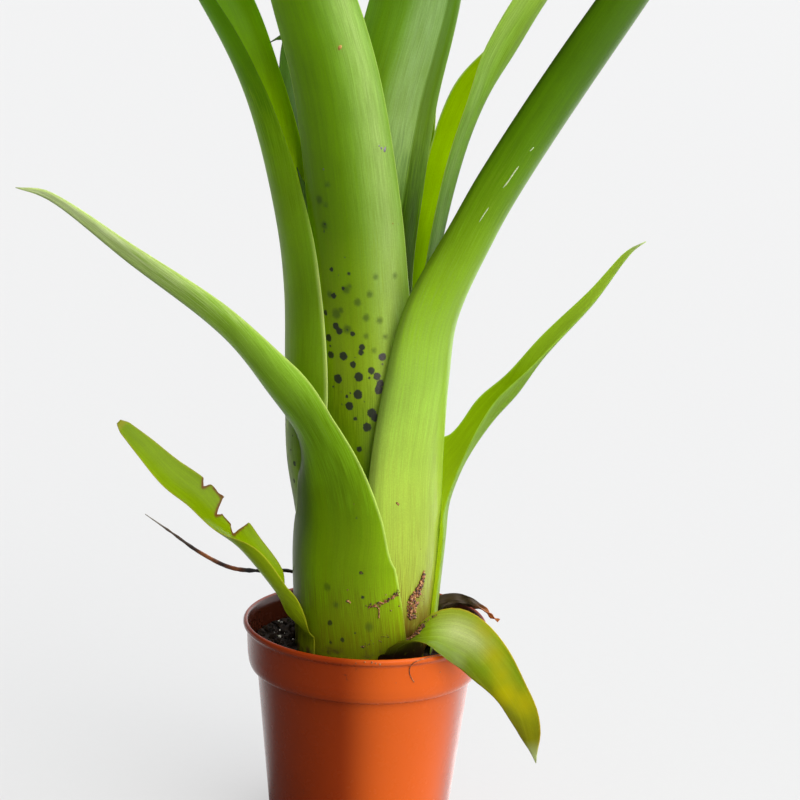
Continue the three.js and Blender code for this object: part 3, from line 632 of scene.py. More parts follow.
def leafSkin(leafName, leaf):
    look = {**leafLook, **leafTints.get(leafName, {})}
    skin = newMaterial(look["surface"] + leafName.title().replace("_", ""))
    marks = [title for title, key in leafMarks.items() if leaf.get(key)]
    level = {title: addNode(skin, "Attribute", attribute_name=title).outputs["Fac"]
             for title in ["along", "across", "acrossMm", "side", "margin", "left"] + marks}
    place = addNode(skin, "TexCoord").outputs["Object"]
    level["height"] = addNode(skin, "SeparateXYZ", {0: place}).outputs["Z"]
    lanes = addNode(skin, "CombineXYZ", {"X": level["acrossMm"], "Y": level["along"], "Z": level["side"]})
    for title, (size, detail, roughness) in look["patterns"].items():
        at, scale = place, 1 / mm
        if isinstance(size, tuple):
            stretch = (1 / size[0], 1 / size[1], 3)  # the two faces of a leaf differ
            at, size, scale = addNode(skin, "VectorMath", {0: lanes, 1: stretch}, operation="MULTIPLY"), 1, 1
        level[title] = addNode(skin, "TexNoise", {"Vector": at, "Scale": scale / size, "Detail": detail,
                                                  "Roughness": roughness})
    shift = look["veinShift"] * mm  # the colours of the outer face run up and down its veins
    shifted = addNode(skin, "Math", {0: level["veins"], 1: shift, 2: level["height"]}, operation="MULTIPLY_ADD")
    level["veinedHeight"] = addNode(skin, "Math", {0: shifted, 1: shift / 2}, operation="SUBTRACT")
    for key, (driver, metres) in leafRamps.items():
        places, values = zip(*look[key])
        low, high = places[0] * metres, places[-1] * metres
        top = 1 if key in ("outer", "inner") else 2  # a ramp's levels end at 1, so these are kept halved
        if top > 1:
            values = [value / top for value in values]
        share = addNode(skin, "MapRange", {"Value": level[driver], "From Min": low, "From Max": high})
        level[key] = addNode(skin, "ValToRGB", {"Fac": share})
        setStops(level[key], [((at * metres - low) / (high - low), value) for at, value in zip(places, values)])
        if top > 1:
            level[key] = addNode(skin, "Math", {0: level[key], 1: top}, operation="MULTIPLY")
    grain, streak = look["grain"], look["streak"]
    ranges = {  # what each one is read from, the range it is read over and what that becomes
        "veinedWaxAndSheen": ("veins", 0.3, 0.7, 0.75, 1.2),
        "innerFace": ("side", 0.2, -0.2, 0, 1),
        "thinEdge": ("margin", look["marginWidth"], 0.05, 0, 0.8),
        "streakTone": ("streaks", 0.25, 0.75, 1 - streak, 1 + streak),
        "veinTone": ("veins", 0.25, 0.75, 1 - grain / 2, 1 + grain / 2),
        "scaleTone": ("scales", 0.3, 0.7, 1 - grain / 3, 1 + grain / 3),
        "cloudTone": ("cloud", 0.3, 0.7, 0.94, 1.06),
        "dryTip": ("left", look["tipLength"], 1, 0, 0.85),
        "footStain": ("along", look["stainLength"], 0, 0, 1),
        "dampPatch": ("damp", look["stainFrom"], look["stainFrom"] + 0.25, 0, 1),
        "waxyLitSide": ("across", 0.08, 0.34, 0, 1),
        "mottle": ("scales", 0.35, 0.6, 0.55, 1.1),
    }
    for title, (source, fromLow, fromHigh, toLow, toHigh) in ranges.items():
        level[title] = addNode(skin, "MapRange", {"Value": level[source], "From Min": fromLow, "From Max": fromHigh,
                                                  "To Min": toLow, "To Max": toHigh}, interpolation_type="SMOOTHSTEP")
    products = {
        "waxAndSheenShare": ("waxAndSheen", "waxAndSheenHeight", "veinedWaxAndSheen"), "shining": ("sheen", "sheenAlong"),
        "paleEdge": ("thinEdge", "marginAcross", "marginHeight"), "paleSpot": ("waxyLitSide", "mottle"),
        "toneAll": ("streakTone", "veinTone", "scaleTone", "cloudTone"), "stained": ("footStain", "dampPatch"),
    }
    for title, (first, *others) in products.items():
        level[title] = level[first]
        for other in others:
            level[title] = addNode(skin, "Math", {0: level[title], 1: level[other]}, operation="MULTIPLY")
    # the outer face takes its pale wax coat and painted sheen, the inner face its painted highlight, and each is scaled
    # by its tone, the painted light and shade across the leaf
    for face, wax, tone in (("outer", "waxAndSheenShare", "tone"), ("inner", "shining", "innerTone")):
        colour = addNode(skin, "MixRGB", {"Fac": level[wax], "Color1": level[face],
                                          "Color2": linear(look["waxAndSheenColour"])})
        level[face] = addNode(skin, "VectorMath", {0: colour, "Scale": level[tone]}, operation="SCALE")
    colour = addNode(skin, "MixRGB", {"Fac": level["innerFace"], "Color1": level["outer"], "Color2": level["inner"]})
    colour = addNode(skin, "MixRGB", {"Fac": level["paleEdge"], "Color1": colour, "Color2": linear(look["margin"])})
    colour = addNode(skin, "VectorMath", {0: colour, "Scale": level["toneAll"]}, operation="SCALE")
    for share, tint in (("dryTip", "tip"), ("stained", "stainColour")):  # the tip dries; damp peat stains the foot
        colour = addNode(skin, "MixRGB", {"Fac": level[share], "Color1": colour, "Color2": linear(look[tint])})
    ragged = addNode(skin, "MapRange", {"Value": level["tears"], "From Min": 0.2, "From Max": 0.8, "To Min": -0.22,
                                        "To Max": 0.22})
    edges = {"blotch": (-look["blotchEdge"], look["blotchEdge"], look["blotchShare"]),
             "spot": (-look["spotEdge"], look["spotEdge"], look["spotShare"]), "wound": (0.9, 0.2, 0.9)}
    for title in marks:
        depth = addNode(skin, "Math", {0: level[title], 1: ragged}, operation="ADD")
        low, high, full = edges[title]
        share = addNode(skin, "MapRange", {"Value": depth, "From Min": low, "From Max": high, "To Max": full},
                        interpolation_type="SMOOTHSTEP")
        tint = linear(look[title + "Colour"])
        if title == "spot":  # painted highlight and wax: the spots turn a paler purple on the side towards the light, and their middles are mottled
            tint = addNode(skin, "MixRGB", {"Fac": level["paleSpot"], "Color1": tint,
                                            "Color2": linear(look["spotPale"])})
        colour = addNode(skin, "MixRGB", {"Fac": share, "Color1": colour, "Color2": tint})
    relief = addNode(skin, "Math", {0: level["veins"], 1: 1.0, 2: level["streaks"]}, operation="MULTIPLY_ADD")
    bump = addNode(skin, "Bump", {"Height": relief, "Strength": look["relief"], "Distance": look["reliefMm"] * mm})
    rough = addNode(skin, "MapRange", {"Value": level["streaks"], "From Min": 0.2, "From Max": 0.8,
                                       "To Min": look["roughness"] - 0.05, "To Max": look["roughness"] + 0.08})
    body = addNode(skin, "BsdfPrincipled", {"Base Color": colour, "Roughness": rough, "Normal": bump,
                                            "IOR": look["ior"], "Specular IOR Level": look["gloss"]})
    # light that comes through has passed both faces, so each one takes the root of the tint
    passed = addNode(skin, "Gamma", {"Color": colour, "Gamma": 0.5})
    glow = addNode(skin, "BsdfTranslucent", {"Color": passed, "Normal": bump})
    shader = addNode(skin, "MixShader", {0: look["through"], 1: body, 2: glow})
    addNode(skin, "OutputMaterial", {"Surface": shader})
    return skin


for name, leaf in leaves.items():
    buildLeaf(name, leaf, leafSkin(name, leaf))
print("leaves made,", len(leaves))


# The pot: injection-moulded polypropylene, smooth, with a slight gloss that turns grey where the eye skims along it

pot = {
    "outline": [(0, 0), (21.3, 0), (21.9, 0.6), (26, 38), (27.6, 38.3), (28.1, 39.6), (28.4, 41.6), (28.8, 48),
                (29.7, 48.6), (29.7, 49.5), (29.2, 50), (28.6, 49.7), (28, 48), (27.4, 41.4), (25.1, 38.8),
                (21, 1.7), (20.4, 1.2), (0, 1.2)],
    "corner": 0.5, "cornerShare": 0.4, "cornerSteps": 4, "sides": 240, "crispDegrees": 35,
    "holes": 6, "holeRadius": 2.5, "holeRing": 11.5, "holeSides": 32, "drillLength": 8,
    "colour": "#8a2f05", "deep": "#6e2502", "paintedLight": "#c65410", "paintedLightTowards": (0.5, -0.866, 0), "dust": "#3a2014",
    "inside": "#24120a", "roughness": 0.24, "gloss": 0.14, "ior": 1.49, "relief": 0.15, "reliefMm": 0.05,
    "patterns": {"flow": (16.6667, 3, 0.5), "dirt": (1.11111, 6, 0.7), "patches": (11.1111, 2, 0.5),
                 "scuff": (3.33333, 5, 0.5)},  # size in mm, detail and roughness
}


def roundedOutline(look):  # each inner corner becomes a short curve
    corners = [Vector(p) for p in look["outline"]]
    steps, smooth = look["cornerSteps"], [corners[0]]
    for before, corner, after in zip(corners, corners[1:], corners[2:]):
        arms = (before - corner, after - corner)
        start, end = (corner + a.normalized() * min(look["corner"], a.length * look["cornerShare"]) for a in arms)
        smooth += [start.lerp(corner, t / steps).lerp(corner.lerp(end, t / steps), t / steps) for t in range(steps + 1)]
    return smooth + [corners[-1]]


def latheMesh(outline, sides, centreX=0.0, shift=None):  # a closed solid of revolution; its ends lie on the axis
    points, faces = [(centreX, 0, outline[0][1])], []
    rings = outline[1:-1]
    for radius, height in rings:
        for i in range(sides):
            turn = math.tau * i / sides
            outwards, upwards = shift(radius, height, turn) if shift else (0, 0)
            x, y, z = around(radius + outwards, turn, height + upwards)
            points.append((centreX + x, y, z))
    points.append((centreX, 0, outline[-1][1]))
    for i in range(sides):
        after = (i + 1) % sides
        faces.append((0, 1 + after, 1 + i))
        for j in range(len(rings) - 1):
            base = 1 + j * sides
            faces.append((base + i, base + after, base + sides + after, base + sides + i))
        base = 1 + (len(rings) - 1) * sides
        faces.append((base + i, base + after, len(points) - 1))
    return points, faces


def potSkin(look):
    skin = newMaterial("mouldedPolypropylene")  # a terracotta plastic with faint flow marks and handling dirt, painted lighter on the side towards the window and painted dark on its inner wall
    place = addNode(skin, "TexCoord").outputs["Object"]
    level = {title: addNode(skin, "TexNoise", {"Vector": place, "Scale": 1 / (size * mm), "Detail": detail,
                                               "Roughness": roughness})
             for title, (size, detail, roughness) in look["patterns"].items()}
    radial = addNode(skin, "VectorMath", {0: place, 1: (1, 1, 0)}, operation="MULTIPLY")
    radial = addNode(skin, "VectorMath", {0: radial}, operation="NORMALIZE")
    normal = addNode(skin, "NewGeometry").outputs["Normal"]
    for title, direction in (("window", look["paintedLightTowards"]), ("facing", normal)):
        level[title] = addNode(skin, "VectorMath", {0: radial, 1: direction}, operation="DOT_PRODUCT").outputs["Value"]
    level["handling"] = addNode(skin, "Math", {0: level["dirt"], 1: level["patches"]}, operation="MULTIPLY")
    coats = {  # what each coat follows, the range it is read over, how much it covers and how it starts
        "deep": ("flow", 0.3, 0.75, 0.3, "LINEAR"),
        "paintedLight": ("window", 0.74, 0.99, 1, "SMOOTHSTEP"),  # painted light: the side towards the window is painted a lighter orange
        "dust": ("handling", 0.45, 0.49, 0.6, "SMOOTHSTEP"),
        "inside": ("facing", -0.5, -0.9, 0.85, "LINEAR"),  # painted shade: the inner wall is painted near black
    }
    colour = linear(look["colour"])
    for tint, (source, low, high, most, kind) in coats.items():
        share = addNode(skin, "MapRange", {"Value": level[source], "From Min": low, "From Max": high, "To Max": most},
                        interpolation_type=kind)
        colour = addNode(skin, "MixRGB", {"Fac": share, "Color1": colour, "Color2": linear(look[tint])})
    rough = addNode(skin, "MapRange", {"Value": level["scuff"], "To Min": look["roughness"] - 0.06,
                                       "To Max": look["roughness"] + 0.1})
    bump = addNode(skin, "Bump", {"Height": level["scuff"], "Strength": look["relief"],
                                  "Distance": look["reliefMm"] * mm})
    body = addNode(skin, "BsdfPrincipled", {"Base Color": colour, "Roughness": rough, "Normal": bump,
                                            "IOR": look["ior"], "Specular IOR Level": look["gloss"]})
    addNode(skin, "OutputMaterial", {"Surface": body})
    return skin


def sharpen(piece, degrees):  # edges sharper than this stay crisp
    mesh = bmesh.new()
    mesh.from_mesh(piece.data)
    for edge in mesh.edges:
        edge.smooth = edge.calc_face_angle(0) < math.radians(degrees)
    mesh.to_mesh(piece.data)
    mesh.free()


def buildPot(look):
    points, faces = latheMesh(roundedOutline(look), look["sides"])
    shell = addPiece("potLook", points, faces, potSkin(look), "pot", "pot_plastic")
    drills = bmesh.new()
    for i in range(look["holes"]):
        at = Matrix.Translation(Vector(around(look["holeRing"], math.tau * i / look["holes"], 0)) * mm)
        bmesh.ops.create_cone(drills, cap_ends=True, segments=look["holeSides"], radius1=look["holeRadius"] * mm,
                              radius2=look["holeRadius"] * mm, depth=look["drillLength"] * mm, matrix=at)
    drillMesh = bpy.data.meshes.new("drills")
    drills.to_mesh(drillMesh)
    drills.free()
    tool = bpy.data.objects.new("drills", drillMesh)
    bpy.context.scene.collection.objects.link(tool)
    cut = shell.modifiers.new("holes", "BOOLEAN")
    cut.object, cut.operation, cut.solver = tool, "DIFFERENCE", "EXACT"
    drilled = bpy.data.meshes.new_from_object(shell.evaluated_get(bpy.context.evaluated_depsgraph_get()))
    shell.modifiers.clear()
    shell.data = drilled
    bpy.data.objects.remove(tool)
    drilled.polygons.foreach_set("use_smooth", [True] * len(drilled.polygons))
    bpy.context.view_layer.update()
    sharpen(shell, look["crispDegrees"])


buildPot(pot)
print("pot made")


# Dry and crumbly matter: matt, its colours follow a fine grain or run along the piece

grainLook = {
    "grainMm": 1.25, "detail": 4, "grainRoughness": 0.5, "stretch": (1, 1, 1), "levels": (0, 1), "tone": (1, 1),
    "toneLevels": (0.3, 0.7), "runsAlong": False, "relief": 0, "reliefMm": 0.3, "roughness": 0.6, "gloss": 0.5,
}

crumb = {"stretch": (0.6, 1.25), "knock": 0.35, "knocks": 1.7}


def grainSkin(surface, ownLook):
    look = {**grainLook, **ownLook}
    skin = newMaterial(surface)
    place = addNode(skin, "TexCoord").outputs["Object"]
    place = addNode(skin, "VectorMath", {0: place, 1: look["stretch"]}, operation="MULTIPLY")
    grain = addNode(skin, "TexNoise", {"Vector": place, "Scale": 1 / (look["grainMm"] * mm), "Detail": look["detail"],
                                       "Roughness": look["grainRoughness"]})
    (low, high), (toneLow, toneHigh), (dim, bright) = look["levels"], look["toneLevels"], look["tone"]
    share = addNode(skin, "MapRange", {"Value": grain, "From Min": low, "From Max": high})
    if look["runsAlong"]:
        share = addNode(skin, "Attribute", attribute_name="along").outputs["Fac"]
    colour = addNode(skin, "ValToRGB", {"Fac": share})
    setStops(colour, look["colours"])
    tone = addNode(skin, "MapRange", {"Value": grain, "From Min": toneLow, "From Max": toneHigh, "To Min": dim,
                                      "To Max": bright})
    colour = addNode(skin, "VectorMath", {0: colour, "Scale": tone}, operation="SCALE")
    finish = {"Base Color": colour, "Roughness": look["roughness"], "Specular IOR Level": look["gloss"]}
    if look["relief"]:
        finish["Normal"] = addNode(skin, "Bump", {"Height": grain, "Strength": look["relief"],
                                                  "Distance": look["reliefMm"] * mm})
    body = addNode(skin, "BsdfPrincipled", finish)
    addNode(skin, "OutputMaterial", {"Surface": body})
    return skin


def crumbs(rng, places, sizes):  # rough grains, each a knocked-about ball: points and faces
    points, faces = [], []
    ball = bmesh.new()
    bmesh.ops.create_icosphere(ball, subdivisions=1, radius=1)
    corners = [v.co.copy() for v in ball.verts]
    sides = [[v.index for v in f.verts] for f in ball.faces]
    ball.free()
    for place, size in zip(places, sizes):
        turn = Euler([rng.uniform(0, math.tau) for _ in range(3)]).to_matrix()
        stretch = Vector([rng.uniform(*crumb["stretch"]) for _ in range(3)])
        base = len(points)
        for corner in corners:
            rough = 1 + crumb["knock"] * noise.noise(corner * crumb["knocks"] + Vector(place))
            points.append(tuple(Vector(place) + turn @ (corner * stretch) * size * rough))
        faces += [[base + i for i in side] for side in sides]
    return points, faces


def thread(path, radii, sides):  # a closed tube along a path of points, in mm
    path = [Vector(p) for p in path]
    last = len(path) - 1
    points, faces = [], []
    across = (path[1] - path[0]).normalized().orthogonal()
    for i, here in enumerate(path):
        ahead = (path[min(i + 1, last)] - path[max(i - 1, 0)]).normalized()
        across = (across - ahead * across.dot(ahead)).normalized()
        beside = ahead.cross(across)
        for k in range(sides):
            turn = math.tau * k / sides
            points.append(tuple(here + (across * math.cos(turn) + beside * math.sin(turn)) * radii[i]))
    for i in range(last):
        for k in range(sides):
            after = (k + 1) % sides
            faces.append((i * sides + k, i * sides + after, (i + 1) * sides + after, (i + 1) * sides + k))
    faces.append(list(range(sides))[::-1])
    faces.append([last * sides + k for k in range(sides)])
    return points, faces


def merged(parts):
    points, faces = [], []
    for somePoints, someFaces in parts:
        faces += [[len(points) + i for i in face] for face in someFaces]
        points += somePoints
    return points, faces


# Potting mix: damp dark peat in crumbs, with white perlite and fibres

soil = {
    "outline": [(0, 1.5), (20, 1.5), (20.7, 2.2), (24.8, 38.4), (26.8, 41.8), (27.3, 43), (26.6, 43.8), (25, 43.6),
                (23, 43.5), (21, 43.5), (19, 43.5), (17, 43.5), (15, 43.5), (0, 43.5)],
    "sides": 150, "surface": 43.5, "rise": 0.9, "riseFrom": 41.5,
    "lumps": [(0.35, 1, 2.0), (1.1, 0.5, 5.0)],  # how many in a mm, how strong, and where in the noise
    "seed": 7, "ring": (15.5, 26.6), "crumbWall": 26.9, "crumbs": 620, "crumbSize": (0.35, 1.25), "perlite": 34,
    "perliteSize": (0.3, 0.8), "sizePower": 2.2, "reachPower": 0.7, "seated": 0.25,
    "fibres": 40, "fibreLength": (1.5, 4), "fibreRadius": 0.09, "fibreJoints": 6, "fibreSides": 6, "fibreInset": 0.8,
    "fibreWall": 26.4, "fibreLift": 0.25, "fibreWave": 0.35, "fibreTurns": 1.3, "fibreBend": 0.15,
    "peat": {"grainMm": 1.428571, "detail": 5, "grainRoughness": 0.7, "levels": (0.42, 0.75), "relief": 0.8,
             "roughness": 0.9, "gloss": 0.2, "colours": [(0, "#150e09"), (1, "#3c2a1c")]},
    "perliteColours": [(0, "#d8d4c8"), (1, "#f2efe6")],
}


def soilRise(radius, height, turn):  # how far the rough surface lies outwards and upwards here
    if height < soil["riseFrom"]:
        return 0, 0
    x, y, _ = around(radius, turn, 0)
    lumps = (share * noise.noise(Vector((x * perMm, y * perMm, level))) for perMm, share, level in soil["lumps"])
    return 0, soil["rise"] * sum(lumps)


def scattered(rng, look, count, sizes):  # grains on the peat: most of them small, more of them towards the wall
    (least, most), (inner, outer), spots = sizes, look["ring"], []
    for _ in range(count):
        size = least + (most - least) * rng.random() ** look["sizePower"]
        radius = min(inner + (outer - inner) * rng.random() ** look["reachPower"], look["crumbWall"] - size)
        turn = rng.uniform(0, math.tau)
        lift = soilRise(radius, look["surface"], turn)[1]
        spots.append((around(radius, turn, look["surface"] + lift + look["seated"] * size), size))
    return crumbs(rng, *zip(*spots))


def peatFibre(rng, look):  # a short bent hair that stays inside the pot's wall
    radius, turn = rng.uniform(*look["ring"]) - look["fibreInset"], rng.uniform(0, math.tau)
    way, length = rng.uniform(0, math.tau), rng.uniform(*look["fibreLength"])
    middle, joints, path = Vector(around(radius, turn, 0)), look["fibreJoints"], []
    for k in range(joints):
        x, y, _ = middle + Vector(around(length * (k / (joints - 1) - 0.5), way, 0))
        reach, heading = min(math.hypot(x, y), look["fibreWall"]), math.atan2(y, x)
        height = look["surface"] + look["fibreLift"] + soilRise(reach, look["surface"], heading)[1]
        path.append(around(reach, heading, height + look["fibreWave"] * math.sin(k * look["fibreTurns"] + way)))
        way += rng.uniform(-look["fibreBend"], look["fibreBend"])
    return thread(path, [look["fibreRadius"]] * joints, look["fibreSides"])


def buildSoil(look):
    rng = random.Random(look["seed"])
    peat = grainSkin("dampPeat", look["peat"])  # near black, with brown specks
    perlite = grainSkin("perlite", {**look["peat"], "colours": look["perliteColours"]})  # chalk white
    addPiece("soilLook", *latheMesh(look["outline"], look["sides"], 0, soilRise), peat, "soil", "peat")
    addPiece("peatCrumbs", *scattered(rng, look, look["crumbs"], look["crumbSize"]), peat, None, "peat")
    addPiece("perliteGrains", *scattered(rng, look, look["perlite"], look["perliteSize"]), perlite, None, "peat")
    addPiece("peatFibres", *merged([peatFibre(rng, look) for _ in range(look["fibres"])]), peat, None, "peat")


# The stem foot: a short cone of old brown sheath ends round a pale core

stem = {
    "outline": [(0, 33), (10.5, 33), (11.5, 34), (11.5, 43.2), (14.8, 43.4), (15.2, 43.9), (14.8, 44.6), (13, 46.4),
                (10, 49.5), (7, 52.5), (4.5, 55), (0, 55.4)],
    "sides": 90, "ridge": 0.35, "ridgeFrom": 43, "ridges": 5, "ridgesPerMm": 0.15, "hollow": 0.4,
    "skin": {"grainMm": 1.111111, "stretch": (1, 1, 0.2), "relief": 0.7, "roughness": 0.7,
             "colours": [(0, "#2e2214"), (1, "#5c5228")]},
}


def stemRidge(radius, height, turn):
    wave = noise.noise(Vector(around(stem["ridges"], turn, height * stem["ridgesPerMm"])))
    return (stem["ridge"] * (wave - stem["hollow"]) if height > stem["ridgeFrom"] else 0), 0


def buildStem(look):
    skin = grainSkin("fibrousLeafBase", look["skin"])
    addPiece("stemLook", *latheMesh(look["outline"], look["sides"], bundle["centreX"], stemRidge), skin, "stem", "stem")


buildSoil(soil)
buildStem(stem)
print("soil and stem made")


# The dry strand: an old thread of leaf, brown with orange lengths, fading to grey at its free end

strand = {
    "rows": [(-14.8, 14.8, 40, 0.65), (-14.8, 14.8, 50, 0.65), (-15.6, 14.2, 55.4, 0.65), (-19.4, 12.4, 57.6, 0.65),
             (-25.2, 11, 57.8, 0.65), (-33.4, 14, 57.2, 0.8), (-42, 20, 59, 0.72), (-50, 24, 63, 0.42),
             (-56.4, 26, 66.6, 0.14)],  # x, y, z and radius
    "steps": 90, "sides": 12, "wobble": 0.3, "wobbles": 40,
    "skin": {"runsAlong": True, "tone": (0.6, 1.3), "relief": 0.6, "reliefMm": 0.2,
             "colours": [(0, "#2a1a10"), (0.4, "#22160e"), (0.5, "#16110e"), (0.57, "#16110e"), (0.62, "#8a4a1c"),
                         (0.66, "#241610"), (0.72, "#a4602c"), (0.77, "#2c1c12"), (0.88, "#5a4a3c"),
                         (1, "#a09a90")]},
}


def buildStrand(look):
    rows = np.array(look["rows"], float)
    places = np.linspace(0, 1, look["steps"])
    path = splineAt(rows[:, :3], places)
    wobble = np.array([noise.noise(Vector((t * look["wobbles"], 1, 1))) for t in places])
    radii = np.interp(places, np.linspace(0, 1, len(rows)), rows[:, 3]) * (1 + look["wobble"] * (wobble - 1))
    points, faces = thread(path.tolist(), radii.tolist(), look["sides"])
    addPiece("dryStrandLook", points, faces, grainSkin("driedLeafThread", look["skin"]), "dry_strand", "dry_leaf",
             {"along": np.repeat(places, look["sides"])})


buildStrand(strand)
print("strand made")


# Bark dust and crumbs that cling where the leaves meet the peat: torn reddish bark whose grain runs from tan to near
# black, the darkest parts painted shade between the crumbs.
# Places are mm along and across a leaf's outer face, on the pot an azimuth and a height

debris = {
    "seed": 21, "drift": 0.3, "sizePower": 2, "seated": 0.4, "upperFace": "leaf_right_drooping",
    # the near-black end of the grain is painted shade between the crumbs
    "skin": {"grainMm": 0.7142857, "grainRoughness": 0.7, "levels": (0.35, 0.68),
             "colours": [(0, "#1c0e08"), (0.3, "#3c2010"), (0.55, "#8a5024"), (1, "#c89c68")]},
    "patches": [  # a leaf, points along and across it with the half width there, how many grains and their radius
        ("leaf_right_tall", [(18, 3.1, 0.2), (16.9, 2.8, 0.5), (15.4, 2.1, 0.7), (13.8, 1.2, 1.2), (12.2, -0.1, 1.5),
                             (10.4, -0.4, 1.6), (8.8, -0.4, 1.3), (7, 0.1, 0.8)], 400, (0.12, 0.5)),
        ("leaf_right_tall", [(15.6, 3.8, 0.4), (12.8, 3.6, 0.8), (10, 3.2, 0.8), (7, 2.4, 1)], 26, (0.06, 0.15)),
        ("leaf_right_tall", [(13.5, -4.1, 0.3), (11.9, -3.8, 0.5), (10.2, -3.2, 0.4)], 12, (0.08, 0.2)),
        ("leaf_right_tall", [(2.5, -3, 1.2), (1.6, 0.4, 1.4), (0.6, 3.5, 1.2)], 40, (0.1, 0.3)),
        ("leaf_left_low", [(4.2, 13.6, 0.7), (2.8, 10.6, 0.8), (1.6, 7, 0.5)], 30, (0.07, 0.2)),
        ("leaf_left_low", [(14.2, 17.4, 0.3), (13, 15.6, 0.6), (12.1, 13.6, 0.5), (11.6, 11.8, 0.5),
                           (11.6, 9.4, 0.4)], 150, (0.08, 0.3)),
        ("leaf_right_drooping", [(6.6, 0.2, 0.9), (8, 1.6, 1.5), (9.4, 3, 1.2), (10.4, 4, 0.6)], 170, (0.1, 0.38)),
        ("leaf_right_drooping", [(9.7, 4.4, 0.5), (12, 5.1, 0.4), (13.8, 5.6, 0.3)], 50, (0.06, 0.2)),
    ],
    "flecks": [("leaf_right_tall", 37.2, -5.4, 0.45), ("leaf_right_tall", 36.8, -5, 0.32),
               ("leaf_left_low", 37.3, 6.5, 0.16), ("leaf_left_low", 20.8, 8.6, 0.14),
               ("leaf_left_low", 13.1, 5.1, 0.4), ("leaf_left_low", 12.7, 5.5, 0.25),
               ("leaf_left_low", 14, 14.1, 0.24), ("leaf_left_low", 9.5, 15, 0.22),
               ("leaf_left_low", 10.2, 17.2, 0.3), ("leaf_right_tall", 24.5, 1.6, 0.16),
               ("leaf_left_low", 16, 5.2, 0.18)],
    "hairLeaf": "leaf_left_low", "hair": [(11.4, 10.4), (11.3, 11.6), (10.4, 12.1), (9.2, 12), (8.2, 11.9)],
    "hairLift": 0.12, "hairRadius": 0.17, "hairSteps": 24, "hairSides": 6,
    "potFibre": [(309.3, 49.75), (301.5, 49.9), (296.5, 49.5), (293.4, 48.9), (292.5, 47.2), (293, 45.6),
                 (295.4, 43.7)],
    "potFibreRadius": 0.1, "potFibreSteps": 40,
    "potDirt": [(271, 49.6, 0.3), (274.2, 49.5, 0.45), (276, 49.3, 0.3), (277.9, 49.1, 0.4), (267, 49.2, 0.3),
                (309.8, 45.1, 0.22), (286.3, 43.9, 0.18), (220.2, 47.2, 0.2), (300, 46.8, 0.15)],
    "potDirtLift": 0.05, "potDirtShare": 0.7,
}


def potSurface(azimuth, height, lift):  # a point just off the pot's outer face
    radii, heights = zip(*pot["outline"][2:9])  # the outer face, from the foot to the lip
    return around(float(np.interp(height, heights, radii)) + lift, math.radians(azimuth), height)


def onLeaf(leafName, line, lift, steps):  # a smooth line of points just above a leaf's outer face
    corners = np.array([surfacePoint(leaves[leafName], along, across, lift)[0] for along, across in line])
    return splineAt(corners, np.linspace(0, 1, steps)).tolist()


def fleckOn(rng, leafName, along, across, size, lift):  # one grain on a leaf's outer face
    return crumbs(rng, [tuple(surfacePoint(leaves[leafName], along, across, lift)[0])], [size])


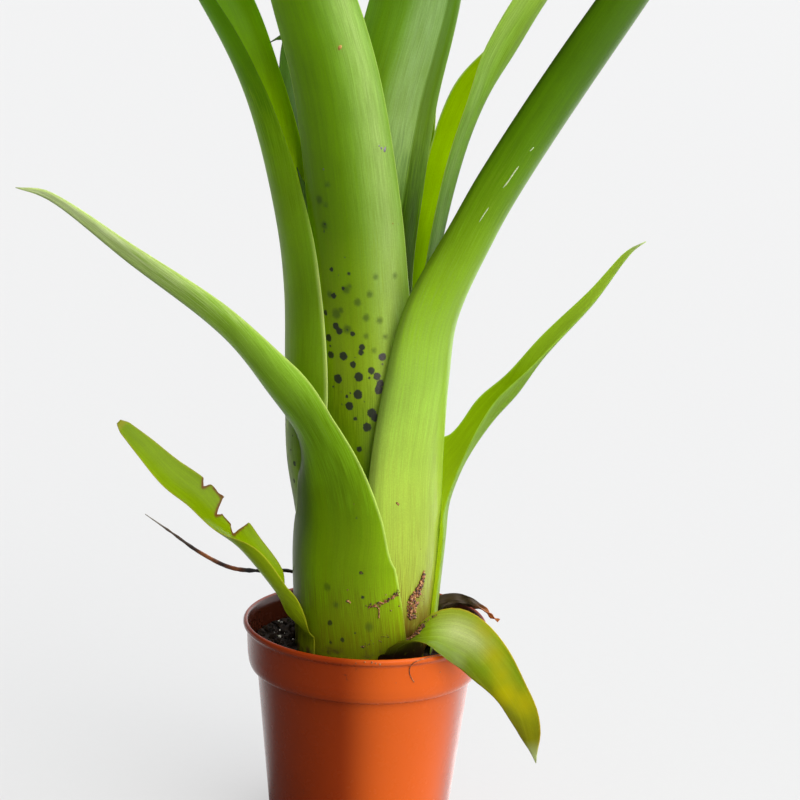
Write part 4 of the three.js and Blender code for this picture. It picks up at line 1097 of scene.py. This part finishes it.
def buildDebris(look):
    rng = random.Random(look["seed"])
    parts = []
    for leafName, line, count, (least, most) in look["patches"]:
        rows, places, sizes = np.array(line), [], []
        for _ in range(count):
            at = rng.random() * (len(rows) - 1)
            along, across, width = (float(np.interp(at, range(len(rows)), column)) for column in rows.T)
            size = least + (most - least) * rng.random() ** look["sizePower"]
            point, outwards = surfacePoint(leaves[leafName], along + rng.gauss(0, look["drift"]),
                                           across + width * rng.uniform(-1, 1), size * look["seated"])
            if leafName == look["upperFace"]:  # this leaf shows its other face
                point = point - outwards * (bundle["thickness"] + 2 * look["seated"] * size)
            places.append(tuple(point))
            sizes.append(size)
        parts.append(crumbs(rng, places, sizes))
    parts += [fleckOn(rng, *fleck, 0) for fleck in look["flecks"]]
    hair = onLeaf(look["hairLeaf"], look["hair"], look["hairLift"], look["hairSteps"])
    parts.append(thread(hair, [look["hairRadius"]] * len(hair), look["hairSides"]))
    corners = np.array([potSurface(*corner, look["potFibreRadius"]) for corner in look["potFibre"]])
    fibre = splineAt(corners, np.linspace(0, 1, look["potFibreSteps"])).tolist()
    parts.append(thread(fibre, [look["potFibreRadius"]] * len(fibre), look["hairSides"]))
    azimuths, heights, sizes = zip(*look["potDirt"])
    parts.append(crumbs(rng, [potSurface(a, z, look["potDirtLift"]) for a, z in zip(azimuths, heights)],
                        [size * look["potDirtShare"] for size in sizes]))
    addPiece("barkCrumbs", *merged(parts), grainSkin("barkDust", look["skin"]), None, "peat")


buildDebris(debris)
print("crumbs made")


# Old scratches healed to a pale thread, a corky scar and purple-grey specks, all of dried matt cuticle

scars = {
    "scratches": [("leaf_right_tall", [(125.3, -1.05), (123.5, -1.2), (121, -1.3), (119, -1.55)], 0.16),
                  ("leaf_right_tall", [(130.9, -0.4), (129.6, -0.7)], 0.12),
                  ("leaf_right_tall", [(113.4, -2.1), (111.4, -2.3), (109.1, -2.45)], 0.11)],
    "corkyScars": [("leaf_front", 143.1, 3.2, 1.05), ("leaf_front", 142.4, 3.7, 0.75), ("leaf_front", 143.9, 2.7, 0.6),
                   ("leaf_front", 100, 9.5, 0.36)],
    "purpleSpecks": [("leaf_front", 117, 9.3, 1.2), ("leaf_front", 117.9, 8.6, 0.75), ("leaf_front", 118, 7.2, 0.42),
                     ("leaf_front", 118.5, 8.1, 0.3), ("leaf_front", 114.7, -5.4, 0.36)],
    "steps": 24, "sides": 8, "endShare": 0.3, "endSteps": 5, "sunk": 0.3, "markSunk": 0.7,
    "colours": {"healedCuticle": "#d8e4b4", "corkyScars": "#b08440", "purpleSpecks": "#7c7480"},
    "skin": {"grainMm": 0.35, "detail": 3, "tone": (0.7, 1.15), "roughness": 0.7},
}


def buildScars(look):
    rng = random.Random(debris["seed"])
    steps, skins = look["steps"], {}
    for surface, hexColour in look["colours"].items():
        skins[surface] = grainSkin(surface, {**look["skin"], "colours": [(0, hexColour), (1, hexColour)]})
    ends = [min(k, steps - 1 - k) / look["endSteps"] + look["endShare"] for k in range(steps)]  # both ends taper
    lines = [thread(onLeaf(leafName, line, -look["sunk"] * width, steps), [width * min(1, end) for end in ends],
                    look["sides"]) for leafName, line, width in look["scratches"]]
    addPiece("healedScratches", *merged(lines), skins["healedCuticle"], None, "leaf")
    for title in ("corkyScars", "purpleSpecks"):
        marks = [fleckOn(rng, *mark, -look["markSunk"] * mark[3]) for mark in look[title]]
        addPiece(title, *merged(marks), skins[title], None, "leaf")


buildScars(scars)
print("scars made")
